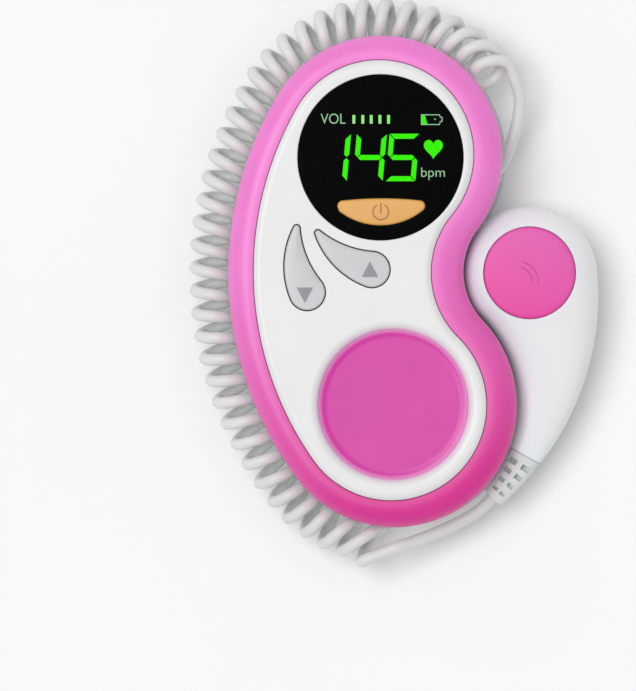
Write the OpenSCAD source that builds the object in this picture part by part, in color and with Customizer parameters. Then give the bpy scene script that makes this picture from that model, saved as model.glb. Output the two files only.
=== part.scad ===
// Hand-held fetal heart monitor: a pebble-shaped main unit with a round
// display, and a hand probe docked in its side on a coiled cord.
// Millimetres. The rear face lies on z = 0 and the display faces +Z.

/* [Body outline] */
// radius of the upper lobe
upper_r = 33.8; // [33:0.1:34.4]
// radius of the lower lobe
lower_r = 34.2; // [33.5:0.1:35]
// centre of the upper lobe, sideways
upper_x = 2.5; // [2:0.1:3.5]
// centre of the upper lobe, along the body
upper_y = 35; // [34.5:0.1:36]
// centre of the lower lobe, sideways
lower_x = 6.2; // [5.5:0.1:6.8]
// centre of the lower lobe, along the body
lower_y = -34.6; // [-35:0.1:-34]
// radius of the long left side
back_r = 96; // [90:0.5:105]
// radius of the hollow in the right side
dock_r = 19.8; // [19.5:0.1:20.6]

/* [Rear tray and frame] */
// height of the rear tray
tray_h = 4.5; // [4:0.1:5]
// floor and wall of the rear tray
tray_t = 2; // [1.8:0.1:2.4]
// radius of the tray's lower edge
tray_edge = 3; // [2:0.1:3.5]
// sideways step between the tray and the rim
tray_shift = 1.4; // [0.8:0.1:1.8]
// wall of the waist frame
frame_t = 2; // [1.6:0.1:2.4]
// depth of the waist below the rim's side
waist_depth = 2.5; // [2.2:0.1:2.8]
// top of the waist frame
frame_top = 24.5; // [24:0.1:25]
// foot flange of the frame
foot_t = 2; // [1.5:0.1:2.5]
// height of the shelf under the main board
board_z = 19; // [18.8:0.1:19.4]

/* [Rim] */
// lowest edge of the rim
rim_low = 22.5; // [22:0.1:23]
// top of the rim
rim_top = 33; // [32.6:0.1:33.2]
// height of the rim's rounded shoulder
rim_round = 6; // [5:0.1:6.5]
// rim width at the upper lobe, from the body's outline to the face's
face_upper_w = 7.3; // [7:0.1:7.6]
// rim width at the lower lobe
face_lower_w = 7.5; // [7.2:0.1:7.8]
// upper lobe of the face, offset sideways from the body's
face_upper_dx = -0.7; // [-0.9:0.1:-0.4]
// upper lobe of the face, offset along the body
face_upper_dy = 0.4; // [0.2:0.1:0.6]
// lower lobe of the face, offset sideways from the body's
face_lower_dx = -1; // [-1.2:0.1:-0.7]
// radius of the long side of the face
face_back_r = 91.8; // [90:0.1:94]
// radius of the hollow side of the face
face_hollow_r = 25.2; // [24.8:0.1:25.8]
// wall of the rim above the frame
rim_wall = 4; // [3.6:0.1:4.4]
// ledge that carries the front panel
ledge_w = 1.5; // [1.2:0.1:1.8]
// thickness of that ledge
ledge_t = 2; // [1.6:0.1:2.4]

/* [Front panel] */
// flat top of the front panel
panel_top = 34; // [33.8:0.1:34.4]
// depth of the panel edge
panel_h = 3.5; // [3:0.1:3.8]
// plate and skirt thickness
panel_t = 2; // [1.8:0.1:2.2]
// width of the rounded edge
crown_w = 1.8; // [1.2:0.1:1.8]
// fall of the rounded edge
crown_h = 0.8; // [0.5:0.1:1]
// open seam between panel and rim
seam = 0.15; // [0.1:0.05:0.3]

/* [Display] */
// centre of the display, sideways
display_x = 2.2; // [1.8:0.1:2.5]
// centre of the display, along the body
display_y = 34.6; // [34.2:0.1:35]
// radius of the display window
display_r = 23.2; // [22.8:0.1:23.4]
// window thickness
window_t = 1.8; // [1.5:0.1:2]
// seat width under the window edge
window_seat = 1.2; // [1:0.1:1.5]
// height of a digit
digit_h = 11.85; // [11:0.05:12.4]
// width of a digit
digit_w = 7; // [6.4:0.1:7.2]
// width of a digit segment
segment_w = 1.4; // [1.1:0.1:1.6]

/* [Dish] */
// centre of the dish, sideways
dish_x = 5.8; // [5.5:0.1:6.2]
// centre of the dish, along the body
dish_y = -34.4; // [-34.8:0.1:-34]
// radius of the coloured disc
dish_r = 20.9; // [20:0.1:21.2]
// rounded lip round the dish
dish_lip = 2.4; // [1.8:0.1:2.4]
// thickness of the coloured disc
disc_t = 0.8; // [0.6:0.1:1]

/* [Buttons] */
// height of the button tops above the panel
button_rise = 0.4; // [0.2:0.1:0.8]
// open seam round each button
button_seam = 0.3; // [0.2:0.05:0.4]
// stroke of each button
travel = 0.6; // [0.4:0.1:0.7]
// radius of the switch plungers
plunger_r = 1.6; // [1.2:0.1:1.8]
// clearance between plunger and switch bore
plunger_fit = 0.1; // [0.05:0.01:0.1]

/* [Battery bay] */
// width of the bay
bay_w = 26; // [25:0.5:27]
// length of the bay
bay_l = 49; // [48.5:0.5:49.5]
// distance of the bay from the lower end of the body
bay_gap = 18.6; // [18:0.1:19]
// battery cell radius
cell_r = 5.25; // [5:0.05:5.4]
// thickness of the sliding cover
cover_t = 1.9; // [1.7:0.05:1.9]
// clearance of the cover's tongues in their grooves
cover_fit = 0.1; // [0.05:0.01:0.1]

/* [Probe] */
// offset of the probe head from the centre of the hollow, sideways
head_dx = -1.3; // [-1.6:0.05:-1]
// offset of the probe head from the centre of the hollow, along the body
head_dy = -0.25; // [-0.6:0.05:0.1]
// distance of the probe's bulge from the lower lobe
probe_out = 11.1; // [10.7:0.1:11.5]
// radius of the probe head
head_r = 18.9; // [18:0.1:19]
// half thickness of the probe head
head_h = 12; // [11:0.1:12.5]
// height of the probe's split line
split_z = 15; // [14.5:0.1:15.5]
// shell thickness
shell_t = 1.8; // [1.5:0.1:2]
// half width of the neck
neck_w = 4.8; // [4.4:0.1:5]
// half thickness of the neck
neck_h = 4.7; // [4.4:0.1:5]
// radius of the coloured pad
pad_r = 12.9; // [12.2:0.1:13]
// radius of the lens on the probe's rear
lens_r = 11; // [10:0.1:11.5]
// length of the bend relief
boot_l = 15; // [14:0.1:16]

/* [Cord] */
// cord diameter
cord_d = 3.4; // [3:0.1:3.5]
// number of curls
curls = 38; // [34:1:38]
// radius of the curls, to the cord's centre
curl_r = 4.95; // [4.7:0.05:5]
// distance of the coil's centre line from the rim
coil_out = 4.45; // [4.4:0.05:4.8]
// height of the coil's centre line
coil_z = 14.5; // [14:0.1:15]

/* [Hidden] */
$fn = 48;
eps = 0.01;
upper = [upper_x, upper_y];
lower = [lower_x, lower_y];
display = [display_x, display_y];
dish = [dish_x, dish_y];

// circle arithmetic
function unit(v) = v / norm(v);
function angle_of(v) = atan2(v.y, v.x);
function ray(a) = [cos(a), sin(a)];
function turn(from, to) = let (d = to - from) d - 360 * floor(d / 360);
function clamp(x) = min(1, max(0, x));
function ease(x) = let (c = clamp(x)) c * c * (3 - 2 * c);
function mix(a, b, k) = a * (1 - k) + b * k;
function root(x, e) = sign(x) * pow(abs(x), e);
function run(c, r, from, span, n) = [for (k = [0 : n-1]) c + r * ray(from + span * k / n)];

// centre of the circle at distance da from a and db from b, left of a to b
function side_centre(a, b, da, db) =
    let (d = norm(b - a), u = (b - a) / d, x = (da*da - db*db + d*d) / (2*d))
    a + x * u + sqrt(da*da - x*x) * [-u.y, u.x];

// centre of the circle through three points
function circle_through(a, b, c) =
    [(a*a) * (b.y - c.y) + (b*b) * (c.y - a.y) + (c*c) * (a.y - b.y),
     (a*a) * (c.x - b.x) + (b*b) * (a.x - c.x) + (c*c) * (b.x - a.x)]
    / (2 * (a.x * (b.y - c.y) + b.x * (c.y - a.y) + c.x * (a.y - b.y)));

// four tangent arcs: [end a, end b, convex centre, concave centre, ra, rb, r convex, r concave]
function outline(a, b, ra, rb, rl, rr) =
    [a, b, side_centre(a, b, rl - ra, rl - rb), side_centre(a, b, rr + ra, rr + rb), ra, rb, rl, rr];
// points of such an outline, moved outward by e
function border(o, e, n) = concat(
    run(o[0], o[4] + e, angle_of(o[3] - o[0]), turn(angle_of(o[3] - o[0]), angle_of(o[0] - o[2])), n[0]),
    run(o[2], o[6] + e, angle_of(o[0] - o[2]), turn(angle_of(o[0] - o[2]), angle_of(o[1] - o[2])), n[1]),
    run(o[1], o[5] + e, angle_of(o[1] - o[2]), turn(angle_of(o[1] - o[2]), angle_of(o[3] - o[1])), n[2]),
    run(o[3], o[7] - e, angle_of(o[1] - o[3]), -turn(angle_of(o[0] - o[3]), angle_of(o[1] - o[3])), n[3]));

// rings joined into one closed solid, capped from a point inside each end ring
module stack(rings, low, high) {
    n = len(rings[0]);
    m = len(rings);
    polyhedron(
        [for (r = rings) each r, low, high],
        [for (j = [0 : m-2], i = [0 : n-1]) each [
            [j*n + i, (j+1)*n + (i+1) % n, j*n + (i+1) % n],
            [j*n + i, (j+1)*n + i, (j+1)*n + (i+1) % n]],
         for (i = [0 : n-1]) [m*n, i, (i+1) % n],
         for (i = [0 : n-1]) [m*n + 1, (m-1)*n + (i+1) % n, (m-1)*n + i]]);
}
// rings joined into one closed loop
module loop(rings) {
    n = len(rings[0]);
    m = len(rings);
    polyhedron(
        [for (r = rings) each r],
        [for (j = [0 : m-1], i = [0 : n-1]) each [
            [j*n + i, ((j+1) % m)*n + (i+1) % n, j*n + (i+1) % n],
            [j*n + i, ((j+1) % m)*n + i, ((j+1) % m)*n + (i+1) % n]]]);
}
module disc(at, r, from, to) {
    translate([at.x, at.y, from]) cylinder(r = r, h = to - from);
}
module block(from, to) {
    translate(from) cube(to - from);
}

// body outline: points and outward directions, and the face outline inside the rim
body = outline(upper, lower, upper_r, lower_r, back_r, dock_r);
body_n = [30, 10, 32, 14];
hollow = body[3];
head = hollow + [head_dx, head_dy];
edge = border(body, 0, body_n);
out = border(body, 1, body_n) - edge;
face = border(outline(upper + [face_upper_dx, face_upper_dy], lower + [face_lower_dx, 0],
    upper_r - face_upper_w, lower_r - face_lower_w, face_back_r, face_hollow_r), 0, body_n);
core = [-14, 0];
function inset(u) = [for (i = [0 : len(edge)-1]) edge[i] - u * out[i]];
function rim_ring(k, u, z) = [for (i = [0 : len(edge)-1])
    let (p = mix(edge[i], face[i], k) - u * out[i]) [p.x, p.y, z]];
function level(p, z) = [for (q = p) [q.x, q.y, z]];
module plate(p, from, to) {
    translate([0, 0, from]) linear_extrude(to - from) polygon(p);
}

// heights
seat_z = panel_top - panel_h;
window_top = panel_top - 0.4;
window_z = window_top - window_t;
board_t = 1.6;
board_top = board_z + board_t;
shelf_t = 1.2;
module_top = seat_z - 0.1;
boss_top = 8.5;
disc_z = panel_top - 3.2;

// screws through the tray into the panel posts, and into the frame lugs
bay_low = lower_y - lower_r + bay_gap;
bay_y = bay_low + bay_l;
long_screws = [body[2] + (back_r - 11.6) * ray(179.5), [11.7, bay_y + 5.6], [-15.4, bay_low + 9], [25, bay_low + 9]];
short_screws = [for (a = [128, 50]) upper + (upper_r - 8.7) * ray(a)];
screw_r = 1.4;
screw_head_r = 2.8;
screw_fit = 0.05;
boss_r = 3.6;
post_r = 2.7;
lug_r = 5;
counterbore = 3;
board_screws_at = [upper + (upper_r - 6) * ray(50), upper + (upper_r - 6) * ray(135),
    body[2] + (back_r - 6.1) * ray(180)];
small_r = 0.8;

/* rear tray */
tray_x = [tray_shift, 0];
function tray_ring(u, z) = [for (p = inset(u)) [p.x + tray_shift, p.y, z]];
module tray_solid() {
    steps = 4;
    stack([for (k = [0 : steps]) let (a = 90 * k / steps)
            tray_ring(tray_edge * (1 - sin(a)), tray_edge * (1 - cos(a))),
            tray_ring(0, tray_h)],
        [core.x, core.y, 0], [core.x, core.y, tray_h]);
}
bay_x = 5;
bay_left = bay_x - bay_w / 2;
bay_right = bay_x + bay_w / 2;
bay_wall = 2.4;
bay_top = tray_t + 2 * cell_r + 0.5;
tongue = 1;
tongue_z = 0.95;
cover_end = -58;
speaker_r = 18;
speaker_top = 8;
ring_gap = 0.2;
ring_t = 1.4;
grille_r = 1.2;
module bay_outer(grow, from, to) {
    block([bay_left - grow, bay_low - 1.4, from], [bay_right + grow, bay_y + 1.4, to]);
}
module rear_cover() {
    color("#ececec") difference() {
        union() {
            difference() {
                tray_solid();
                translate([tray_shift, 0, 0]) plate(inset(tray_t), tray_t, tray_h + 1);
            }
            bay_outer(bay_wall, tray_t - 0.5, bay_top + 1.2);
            translate([0, 0, tray_t - eps]) linear_extrude(1.2) intersection() {
                translate(tray_x) polygon(inset(1));
                translate([bay_left - bay_wall, -80]) square([bay_w + 2 * bay_wall, 80 + bay_low]);
            }
            for (p = concat(long_screws, short_screws)) disc(p, boss_r, 0.6, boss_top);
            difference() {
                disc(display, speaker_r + ring_gap + ring_t, tray_t - 0.5, tray_t + 3);
                disc(display, speaker_r + ring_gap, tray_t, tray_t + 4);
            }
        }
        block([bay_left, bay_low, -1], [bay_right, bay_y, bay_top]);
        block([bay_left, -80, -1], [bay_right, bay_y, tray_t]);
        block([bay_left - tongue - cover_fit, -80, tongue_z - cover_fit],
            [bay_right + tongue + cover_fit, bay_y, tray_t]);
        for (p = concat(long_screws, short_screws)) {
            disc(p, screw_head_r + 0.2, -1, counterbore);
            disc(p, screw_r + 0.2, 0, boss_top + 1);
        }
        disc(display, grille_r, -1, tray_t + 1);
        for (a = [0 : 60 : 300]) disc(display + 5 * ray(a), grille_r, -1, tray_t + 1);
        for (a = [0 : 30 : 330]) disc(display + 10 * ray(a), grille_r, -1, tray_t + 1);
    }
}

/* battery cover, sliding out towards the lower edge */
module battery_cover() {
    color("#e4e4e4") difference() {
        union() {
            intersection() {
                tray_solid();
                block([bay_left + cover_fit, -80, -1], [bay_right - cover_fit, bay_y - cover_fit, cover_t]);
            }
            block([bay_left - tongue, cover_end, tongue_z], [bay_right + tongue, bay_y - 1, cover_t]);
        }
        for (k = [0 : 3]) block([bay_x - 6 + k, -12 - 2.4 * k, -1], [bay_x + 6 - k, -10.8 - 2.4 * k, 0.6]);
    }
}

/* waist frame */
wall_out = waist_depth;
wall_in = waist_depth + frame_t;
shelf_w = 2.5;
shelf_low = -8;
gland_dir = unit([0.7, 0.714]);
gland_at = upper + (upper_r - wall_out + 1.4) * ray(-7.4);
gland_r = 2.7;
socket_a = -85;
socket_z = 9.5;
socket_r = 3.4;
socket_at = lower + (lower_r - wall_out) * ray(socket_a);
jack_r = 1.75;
module rod(at, z, direction, r, from, to) {
    translate([at.x, at.y, z]) rotate([0, 0, angle_of(direction)]) rotate([0, 90, 0])
        translate([0, 0, from]) cylinder(r = r, h = to - from);
}
module waist_frame() {
    color("#f2f2f2") difference() {
        union() {
            difference() {
                union() {
                    plate(inset(wall_out), tray_h, frame_top);
                    translate([tray_shift, 0, 0]) plate(inset(0.3), tray_h, tray_h + foot_t);
                }
                plate(inset(wall_in), tray_h - 1, frame_top + 1);
            }
            difference() {
                plate(inset(wall_in - 0.5), board_z - shelf_t, board_z);
                plate(inset(wall_in + shelf_w), board_z - shelf_t - 1, board_z + 1);
                block([-80, -90, 0], [80, shelf_low, board_z + 1]);
            }
            for (p = short_screws) disc(p, lug_r, boss_top, boss_top + 7);
        }
        for (p = short_screws) disc(p, screw_r + screw_fit, boss_top - 1, boss_top + 6);
        for (p = board_screws_at) disc(p, small_r + screw_fit, board_z - shelf_t - 1, board_z + 1);
        rod(gland_at, coil_z, gland_dir, gland_r + 0.2, -9, 2);
        rod(socket_at, socket_z, ray(socket_a), socket_r + 0.1, -4, 3);
    }
}

/* front rim */
module front_rim() {
    side = rim_top - rim_round;
    steps = 6;
    color("#e572ba") loop([
        rim_ring(0, 0, rim_low),
        for (k = [0 : steps]) let (a = 90 * k / steps)
            rim_ring(0.8 * (1 - cos(a)), 0, side + rim_round * sin(a)),
        rim_ring(1, 0, rim_top),
        rim_ring(1, 0, seat_z),
        rim_ring(1, ledge_w, seat_z),
        rim_ring(1, ledge_w, seat_z - ledge_t),
        rim_ring(0, rim_wall, seat_z - ledge_t),
        rim_ring(0, rim_wall, frame_top),
        rim_ring(0, wall_out - 0.1, frame_top),
        rim_ring(0, wall_out - 0.1, rim_low)]);
}

/* volume buttons: drops bent round the display */
drop_n = [5, 8, 16, 8];
down_drop = outline([-21.2, 14.85], [-18.28, -3.1], 0.85, 4.95, 24, 26.7);
up_drop = outline([-15.26, 13.45], [-0.2, 3.3], 0.85, 4.95, 24, 26.7);
function drop_core(o) = o[3] + (o[7] + 0.55 * (o[4] + o[5])) * unit(unit(o[0] - o[3]) + unit(o[1] - o[3]));

/* power button: a bowl shape below the digits, inside the window */
power_r = 19;
power_corner = 1.6;
power_top_r = 98;
power_top_y = display_y - 11.4;
power_flat = [display_x + 0.4, power_top_y - power_top_r];
power_end = side_centre([display_x, display_y], power_flat, power_r - power_corner, power_top_r - power_corner);
power_left = [2 * display_x - power_end.x + 0.4, power_end.y];
function power_border(e) = let (
    r = [power_end.x > display_x ? power_end : power_left, power_end.x > display_x ? power_left : power_end],
    right = r[0], left = r[1],
    b0 = angle_of(left - display), b1 = angle_of(right - display),
    t0 = angle_of(right - power_flat), t1 = angle_of(left - power_flat))
    concat(
        run(display, power_r + e, b0, turn(b0, b1), 14),
        run(right, power_corner + e, b1, turn(b1, t0), 5),
        run(power_flat, power_top_r + e, t0, turn(t0, t1), 4),
        run(left, power_corner + e, t1, turn(t1, b0), 5));
power_core = [display_x, power_top_y - 3.5];
power_plunger_at = [display_x + 0.4, power_top_y - 4.1];

/* front panel */
boss_seat_r = display_r - window_seat;
crown_r = (crown_w * crown_w + crown_h * crown_h) / (2 * crown_h);
function crown(u) = panel_top - crown_r + sqrt(crown_r * crown_r - pow(crown_w - u, 2));
dish_wall = 2.2;
panel_wall = 1.2;
module front_panel() {
    flare = panel_top - disc_z - disc_t;
    color("#ebebeb") difference() {
        union() {
            difference() {
                stack([
                    rim_ring(1, seam, seat_z),
                    for (k = [0 : 3]) rim_ring(1, seam + crown_w * k / 3, crown(crown_w * k / 3))],
                    [core.x, core.y, seat_z], [core.x, core.y, panel_top]);
                plate([for (p = rim_ring(1, seam + panel_wall, 0)) [p.x, p.y]], seat_z - 1, panel_top - panel_t);
            }
            disc(display, display_r + 1, seat_z, panel_top - panel_t + 0.5);
            disc(dish, dish_r + dish_wall, disc_z - 1.6, panel_top - panel_t + 0.5);
            for (p = long_screws) disc(p, post_r, boss_top, panel_top - panel_t + 0.5);
        }
        disc(display, display_r, window_z, panel_top + 1);
        disc(display, boss_seat_r, seat_z - 1, window_z + 1);
        disc(dish, dish_r, disc_z, panel_top + 1);
        translate([dish_x, dish_y, 0]) rotate_extrude() polygon([
            [dish_r - 1, panel_top + 1],
            [dish_r - 1, panel_top - flare],
            for (k = [0 : 6]) [dish_r + dish_lip * (1 - cos(15 * k)), panel_top - flare * (1 - sin(15 * k))],
            [dish_r + dish_lip, panel_top + 1]]);
        plate(border(down_drop, button_seam, drop_n), seat_z, panel_top + 1);
        plate(border(up_drop, button_seam, drop_n), seat_z, panel_top + 1);
        for (p = long_screws) disc(p, screw_r + screw_fit, boss_top - 1, boss_top + 12);
    }
}

/* display */
module display_window() {
    color("#0a0a0a") difference() {
        disc(display, display_r - 0.05, window_z, window_top);
        plate(power_border(button_seam), window_z - 1, window_top + 1);
    }
}
digit_x = [-14.85, -4.84, 4.3];
digit_y = 28.65;
slant = 0.09;
film = 0.1;
// lit segments on one cell: mitred at the corners, pointed at the middle
half_w_seg = segment_w / 2;
mitre = 0.15;
mid_h = digit_h / 2;
function mirror_x(p) = [for (q = p) [digit_w - q.x, q.y]];
function mirror_y(p) = [for (q = p) [q.x, digit_h - q.y]];
seg_top = let (t = half_w_seg) [[mitre - t, digit_h + t], [mitre + t, digit_h - t],
    [digit_w - t - mitre, digit_h - t], [digit_w + t - mitre, digit_h + t]];
seg_side = let (t = half_w_seg) [[-t, digit_h + t - mitre], [-t, mid_h + t + mitre], [0, mid_h + mitre],
    [t, mid_h + t + mitre], [t, digit_h - t - mitre]];
seg_mid = let (t = half_w_seg) [[mitre, mid_h], [mitre + t, mid_h + t], [digit_w - mitre - t, mid_h + t],
    [digit_w - mitre, mid_h], [digit_w - mitre - t, mid_h - t], [mitre + t, mid_h - t]];
seg_ur = mirror_x(seg_side);
seg_lr = mirror_y(seg_ur);
digit_parts = [[seg_ur, seg_lr], [seg_side, seg_mid, seg_ur, seg_lr],
    [seg_top, seg_side, seg_mid, seg_lr, mirror_y(seg_top)]];
module digit_segments() {
    color("#4cff18") for (i = [0 : 2], p = digit_parts[i])
        plate([for (q = p) [digit_x[i] + q.x + slant * q.y, digit_y + q.y]], window_top, window_top + film);
}
module_w = 40;
module_y = [25.6, 49.6];
gasket_w = 34.6;
gasket_y = [26.6, 47.4];
module display_module() {
    color("#303436") difference() {
        block([display_x - module_w / 2, module_y[0], board_top], [display_x + module_w / 2, module_y[1], module_top]);
        block([display_x - module_w / 2 + 2, module_y[0] + 2, board_top - 1],
            [display_x + module_w / 2 - 2, module_y[1] - 2, module_top - 2.5]);
    }
}
module display_gasket() {
    color("#1c1c1c") difference() {
        block([display_x - gasket_w / 2, gasket_y[0], module_top], [display_x + gasket_w / 2, gasket_y[1], window_z]);
        block([display_x - gasket_w / 2 + 1.5, gasket_y[0] + 1.5, module_top - 1],
            [display_x + gasket_w / 2 - 1.5, gasket_y[1] - 1.5, window_z + 1]);
    }
}

/* coloured disc in the dish */
module dish_inlay() {
    color("#de5bb1") translate([dish_x, dish_y, disc_z]) rotate_extrude() polygon([
        [0, 0], [dish_r - 0.1, 0], [dish_r - 0.1, disc_t - 0.1], [dish_r - 0.4, disc_t + 0.1],
        [dish_r - 0.8, disc_t], [dish_r - 1.4, disc_t - 0.3], [0, disc_t - 0.3]]);
}

/* buttons and plungers */
flange = 0.8;
flange_z = seat_z + 0.1;
flange_top = panel_top - panel_t - 0.1;
button_top = panel_top + button_rise;
module drop_button(o) {
    stack([
        level(border(o, flange, drop_n), flange_z),
        level(border(o, flange, drop_n), flange_top),
        level(border(o, 0, drop_n), flange_top),
        level(border(o, 0, drop_n), button_top - 0.6),
        level(border(o, -0.2, drop_n), button_top - 0.2),
        level(border(o, -0.6, drop_n), button_top)],
        [drop_core(o).x, drop_core(o).y, flange_z], [drop_core(o).x, drop_core(o).y, button_top]);
}
module volume_down_button() {
    color("#cfcfcf") drop_button(down_drop);
}
module volume_up_button() {
    color("#cfcfcf") drop_button(up_drop);
}
module power_button() {
    color("#f0a860") stack([
        level(power_border(flange), flange_z),
        level(power_border(flange), window_z - 0.1),
        level(power_border(0), window_z - 0.1),
        level(power_border(0), window_top - 0.2),
        level(power_border(-0.3), window_top + 0.15),
        level(power_border(-1), window_top + 0.3)],
        [power_core.x, power_core.y, flange_z], [power_core.x, power_core.y, window_top + 0.3]);
}
switch_w = 6;
switch_top = board_top + 4.3;
switch_floor = 0.6;
plunger_low = board_top + switch_floor + travel + 0.2;
down_plunger_at = down_drop[1];
up_plunger_at = up_drop[1];
module plunger(at) {
    color("#f4f4f4") disc(at, plunger_r, plunger_low, flange_z);
}
module power_plunger() {
    plunger(power_plunger_at);
}
module volume_down_plunger() {
    plunger(down_plunger_at);
}
module volume_up_plunger() {
    plunger(up_plunger_at);
}
module tact_switches() {
    color("#3a3a3a") for (p = [power_plunger_at, down_plunger_at, up_plunger_at]) difference() {
        block([p.x - switch_w / 2, p.y - switch_w / 2, board_top], [p.x + switch_w / 2, p.y + switch_w / 2, switch_top]);
        disc(p, plunger_r + plunger_fit, board_top + switch_floor, switch_top + 1);
    }
}

/* main board and its screws */
module main_board() {
    color("#2f7d4a") difference() {
        plate(inset(wall_in + 0.5), board_z, board_top);
        block([-2 * upper_r, lower_y - 2 * lower_r, 0], [2 * upper_r, shelf_low + 0.5, board_top + 1]);
        for (p = long_screws) disc(p, post_r + 0.4, board_z - 1, board_top + 1);
        for (p = board_screws_at) disc(p, small_r + 0.1, board_z - 1, board_top + 1);
    }
}
head_out = 1.75;
head_up = 1;
module board_screws() {
    color("#b8bcc0") for (p = board_screws_at) {
        disc(p, small_r, board_z - shelf_t, board_top + eps);
        disc(p, head_out * small_r, board_top, board_top + head_up * small_r);
    }
}

/* speaker */
module speaker_frame() {
    color("#8e9296") translate([display_x, display_y, tray_t]) rotate_extrude() polygon([
        [15.6, 0], [speaker_r, 0], [speaker_r, 1.6], [16.6, 1.8], [10, 6], [4, 6], [4, 5.2], [9.6, 5.2], [15.6, 1.2]]);
}
module speaker_cone() {
    color("#26282a") translate([display_x, display_y, tray_t]) rotate_extrude() polygon([
        [0, 1.6], [4, 3.2], [5, 3.4], [14, 0.6], [15.6, 0.6], [15.6, 1.1], [14.2, 1.1], [5.2, 4], [3.8, 4], [0, 2.2]]);
}
module speaker_magnet() {
    color("#6c7074") disc(display, 9, speaker_top, speaker_top + 5);
}

/* batteries and contacts */
cells_x = [bay_x - 5.9, bay_x + 5.9];
cell_z = tray_t + 0.4 + cell_r;
cell_l = 43.5;
nub_l = 1;
contact_t = 0.4;
cell_end = bay_y - contact_t - nub_l;
module cell(x, flip) {
    translate([x, flip ? bay_y + bay_low : 0, 0]) mirror([0, flip ? 1 : 0, 0]) {
        translate([0, cell_end, cell_z]) rotate([90, 0, 0]) cylinder(r = cell_r, h = cell_l);
        translate([0, cell_end + nub_l, cell_z]) rotate([90, 0, 0]) cylinder(r = 1.9, h = nub_l + 0.5);
    }
}
module battery_cells() {
    color("#3f6f8f") {
        cell(cells_x[0], false);
        cell(cells_x[1], true);
    }
}
module contact_plates() {
    color("#c9ccd0") {
        for (x = cells_x) block([x - 4.5, bay_y - contact_t, cell_z - 4.5], [x + 4.5, bay_y, cell_z + 4.5]);
        block([cells_x[0] - 4.5, bay_low, cell_z - 4.5], [cells_x[1] + 4.5, bay_low + contact_t, cell_z + 4.5]);
    }
}

// round tube through a list of points
function tangents(p) = [for (i = [0 : len(p)-1]) unit(p[min(i + 1, len(p)-1)] - p[max(i - 1, 0)])];
function across(v, t) = unit(v - (v * t) * t);
function frames(t, u0) = [for (i = 0, u = across(u0, t[0]); i < len(t);
    i = i + 1, u = i < len(t) ? across(u, t[i]) : u) u];
module tube(p, r, sides, u0) {
    t = tangents(p);
    u = frames(t, u0);
    stack([for (i = [0 : len(p)-1]) let (v = cross(t[i], u[i]))
        [for (k = [0 : sides-1]) p[i] + r * (cos(360 * k / sides) * u[i] + sin(360 * k / sides) * v)]],
        p[0], p[len(p)-1]);
}
spring_l = bay_l - 2 * contact_t - nub_l - cell_l;
spring_wire = 0.35;
module spring(x, flip) {
    turns = 3;
    steps = 12;
    y0 = flip ? bay_y - contact_t : bay_low + contact_t;
    s = flip ? -1 : 1;
    tube([for (k = [0 : turns * steps]) let (q = k / (turns * steps), a = 360 * k / steps, r = 3.4 - 1.2 * q)
        [x + r * cos(a), y0 + s * (spring_wire + (spring_l - 2 * spring_wire) * ease(q * 1.1 - 0.05)), cell_z + r * sin(a)]],
        spring_wire, 5, [1, 0, 0]);
}
module contact_springs() {
    color("#d8dadd") {
        spring(cells_x[0], false);
        spring(cells_x[1], true);
    }
}

/* case screws */
module screw(p, length) {
    difference() {
        union() {
            disc(p, screw_head_r, counterbore - 2, counterbore);
            disc(p, screw_r, counterbore - 0.5, counterbore + length);
        }
        block([p.x - 1.6, p.y - 0.3, 0], [p.x + 1.6, p.y + 0.3, counterbore - 1]);
        block([p.x - 0.3, p.y - 1.6, 0], [p.x + 0.3, p.y + 1.6, counterbore - 1]);
    }
}
module case_screws() {
    color("#a9adb2") {
        for (p = long_screws) screw(p, boss_top + 9 - counterbore);
        for (p = short_screws) screw(p, boss_top + 4 - counterbore);
    }
}

/* headphone socket in the lower wall */
module headphone_socket() {
    color("#202224") difference() {
        union() {
            rod(socket_at, socket_z, ray(socket_a), socket_r, -8, 0.6);
            translate([socket_at.x, socket_at.y, socket_z]) rotate([0, 0, socket_a])
                block([-11.5, -4, -4.4], [-2.6, 4, 4.4]);
        }
        rod(socket_at, socket_z, ray(socket_a), jack_r, -10.5, 2);
    }
}

/* cord gland in the upper right wall */
module cord_gland() {
    color("#d9d9d9") difference() {
        rod(gland_at, coil_z, gland_dir, gland_r, -8, 0);
        rod(gland_at, coil_z, gland_dir, cord_d / 2, -9, -1.5);
    }
}

/* saddle that holds the probe head */
dock_z = [8, 21];
module probe_dock() {
    color("#dedede") translate([0, 0, dock_z[0]]) linear_extrude(dock_z[1] - dock_z[0]) difference() {
        intersection() {
            polygon(inset(0.6));
            translate(hollow - [dock_r + 7.3, 12]) square([14, 24]);
        }
        polygon(inset(wall_out));
        translate(head) circle(r = head_r + 0.3);
    }
}

/* probe: centre line is straight in the head, then an arc to the neck */
neck = lower + (lower_r + neck_w + 0.16) * ray(-21.3);
bulge = lower + (lower_r + probe_out) * ray(16.1);
bend_c = circle_through(head, bulge, neck);
bend_r = norm(neck - bend_c);
head_a = angle_of(head - bend_c);
neck_a = angle_of(neck - bend_c);
probe_l = bend_r * (head_a - neck_a) * PI / 180;
power = 2.5;
function arc_a(s) = head_a - max(s, 0) / bend_r * 180 / PI;
function side_of(s) = ray(arc_a(s));
function spine(s) = bend_c + bend_r * ray(arc_a(s)) + min(s, 0) * [sin(head_a), -cos(head_a)];
taper = asin(head_r / norm([probe_l, neck_w])) - atan(neck_w / probe_l);
join_s = head_r * sin(taper);
waisting = 1.1;
function half_w(s, t) = s < join_s
    ? sqrt(max(0, pow(head_r - t, 2) - s * s))
    : neck_w - t + (probe_l - s) * tan(taper) - waisting * sin(180 * (probe_l - s) / (probe_l - join_s));
function half_h(s, t) = s < 0
    ? (head_h - t) * pow(max(0, 1 - pow(-s / (head_r - t), power)), 1 / power)
    : neck_h - t + (head_h - neck_h) * (half_w(s, 0) - neck_w) / (head_r - neck_w);
head_steps = 7;
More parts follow.
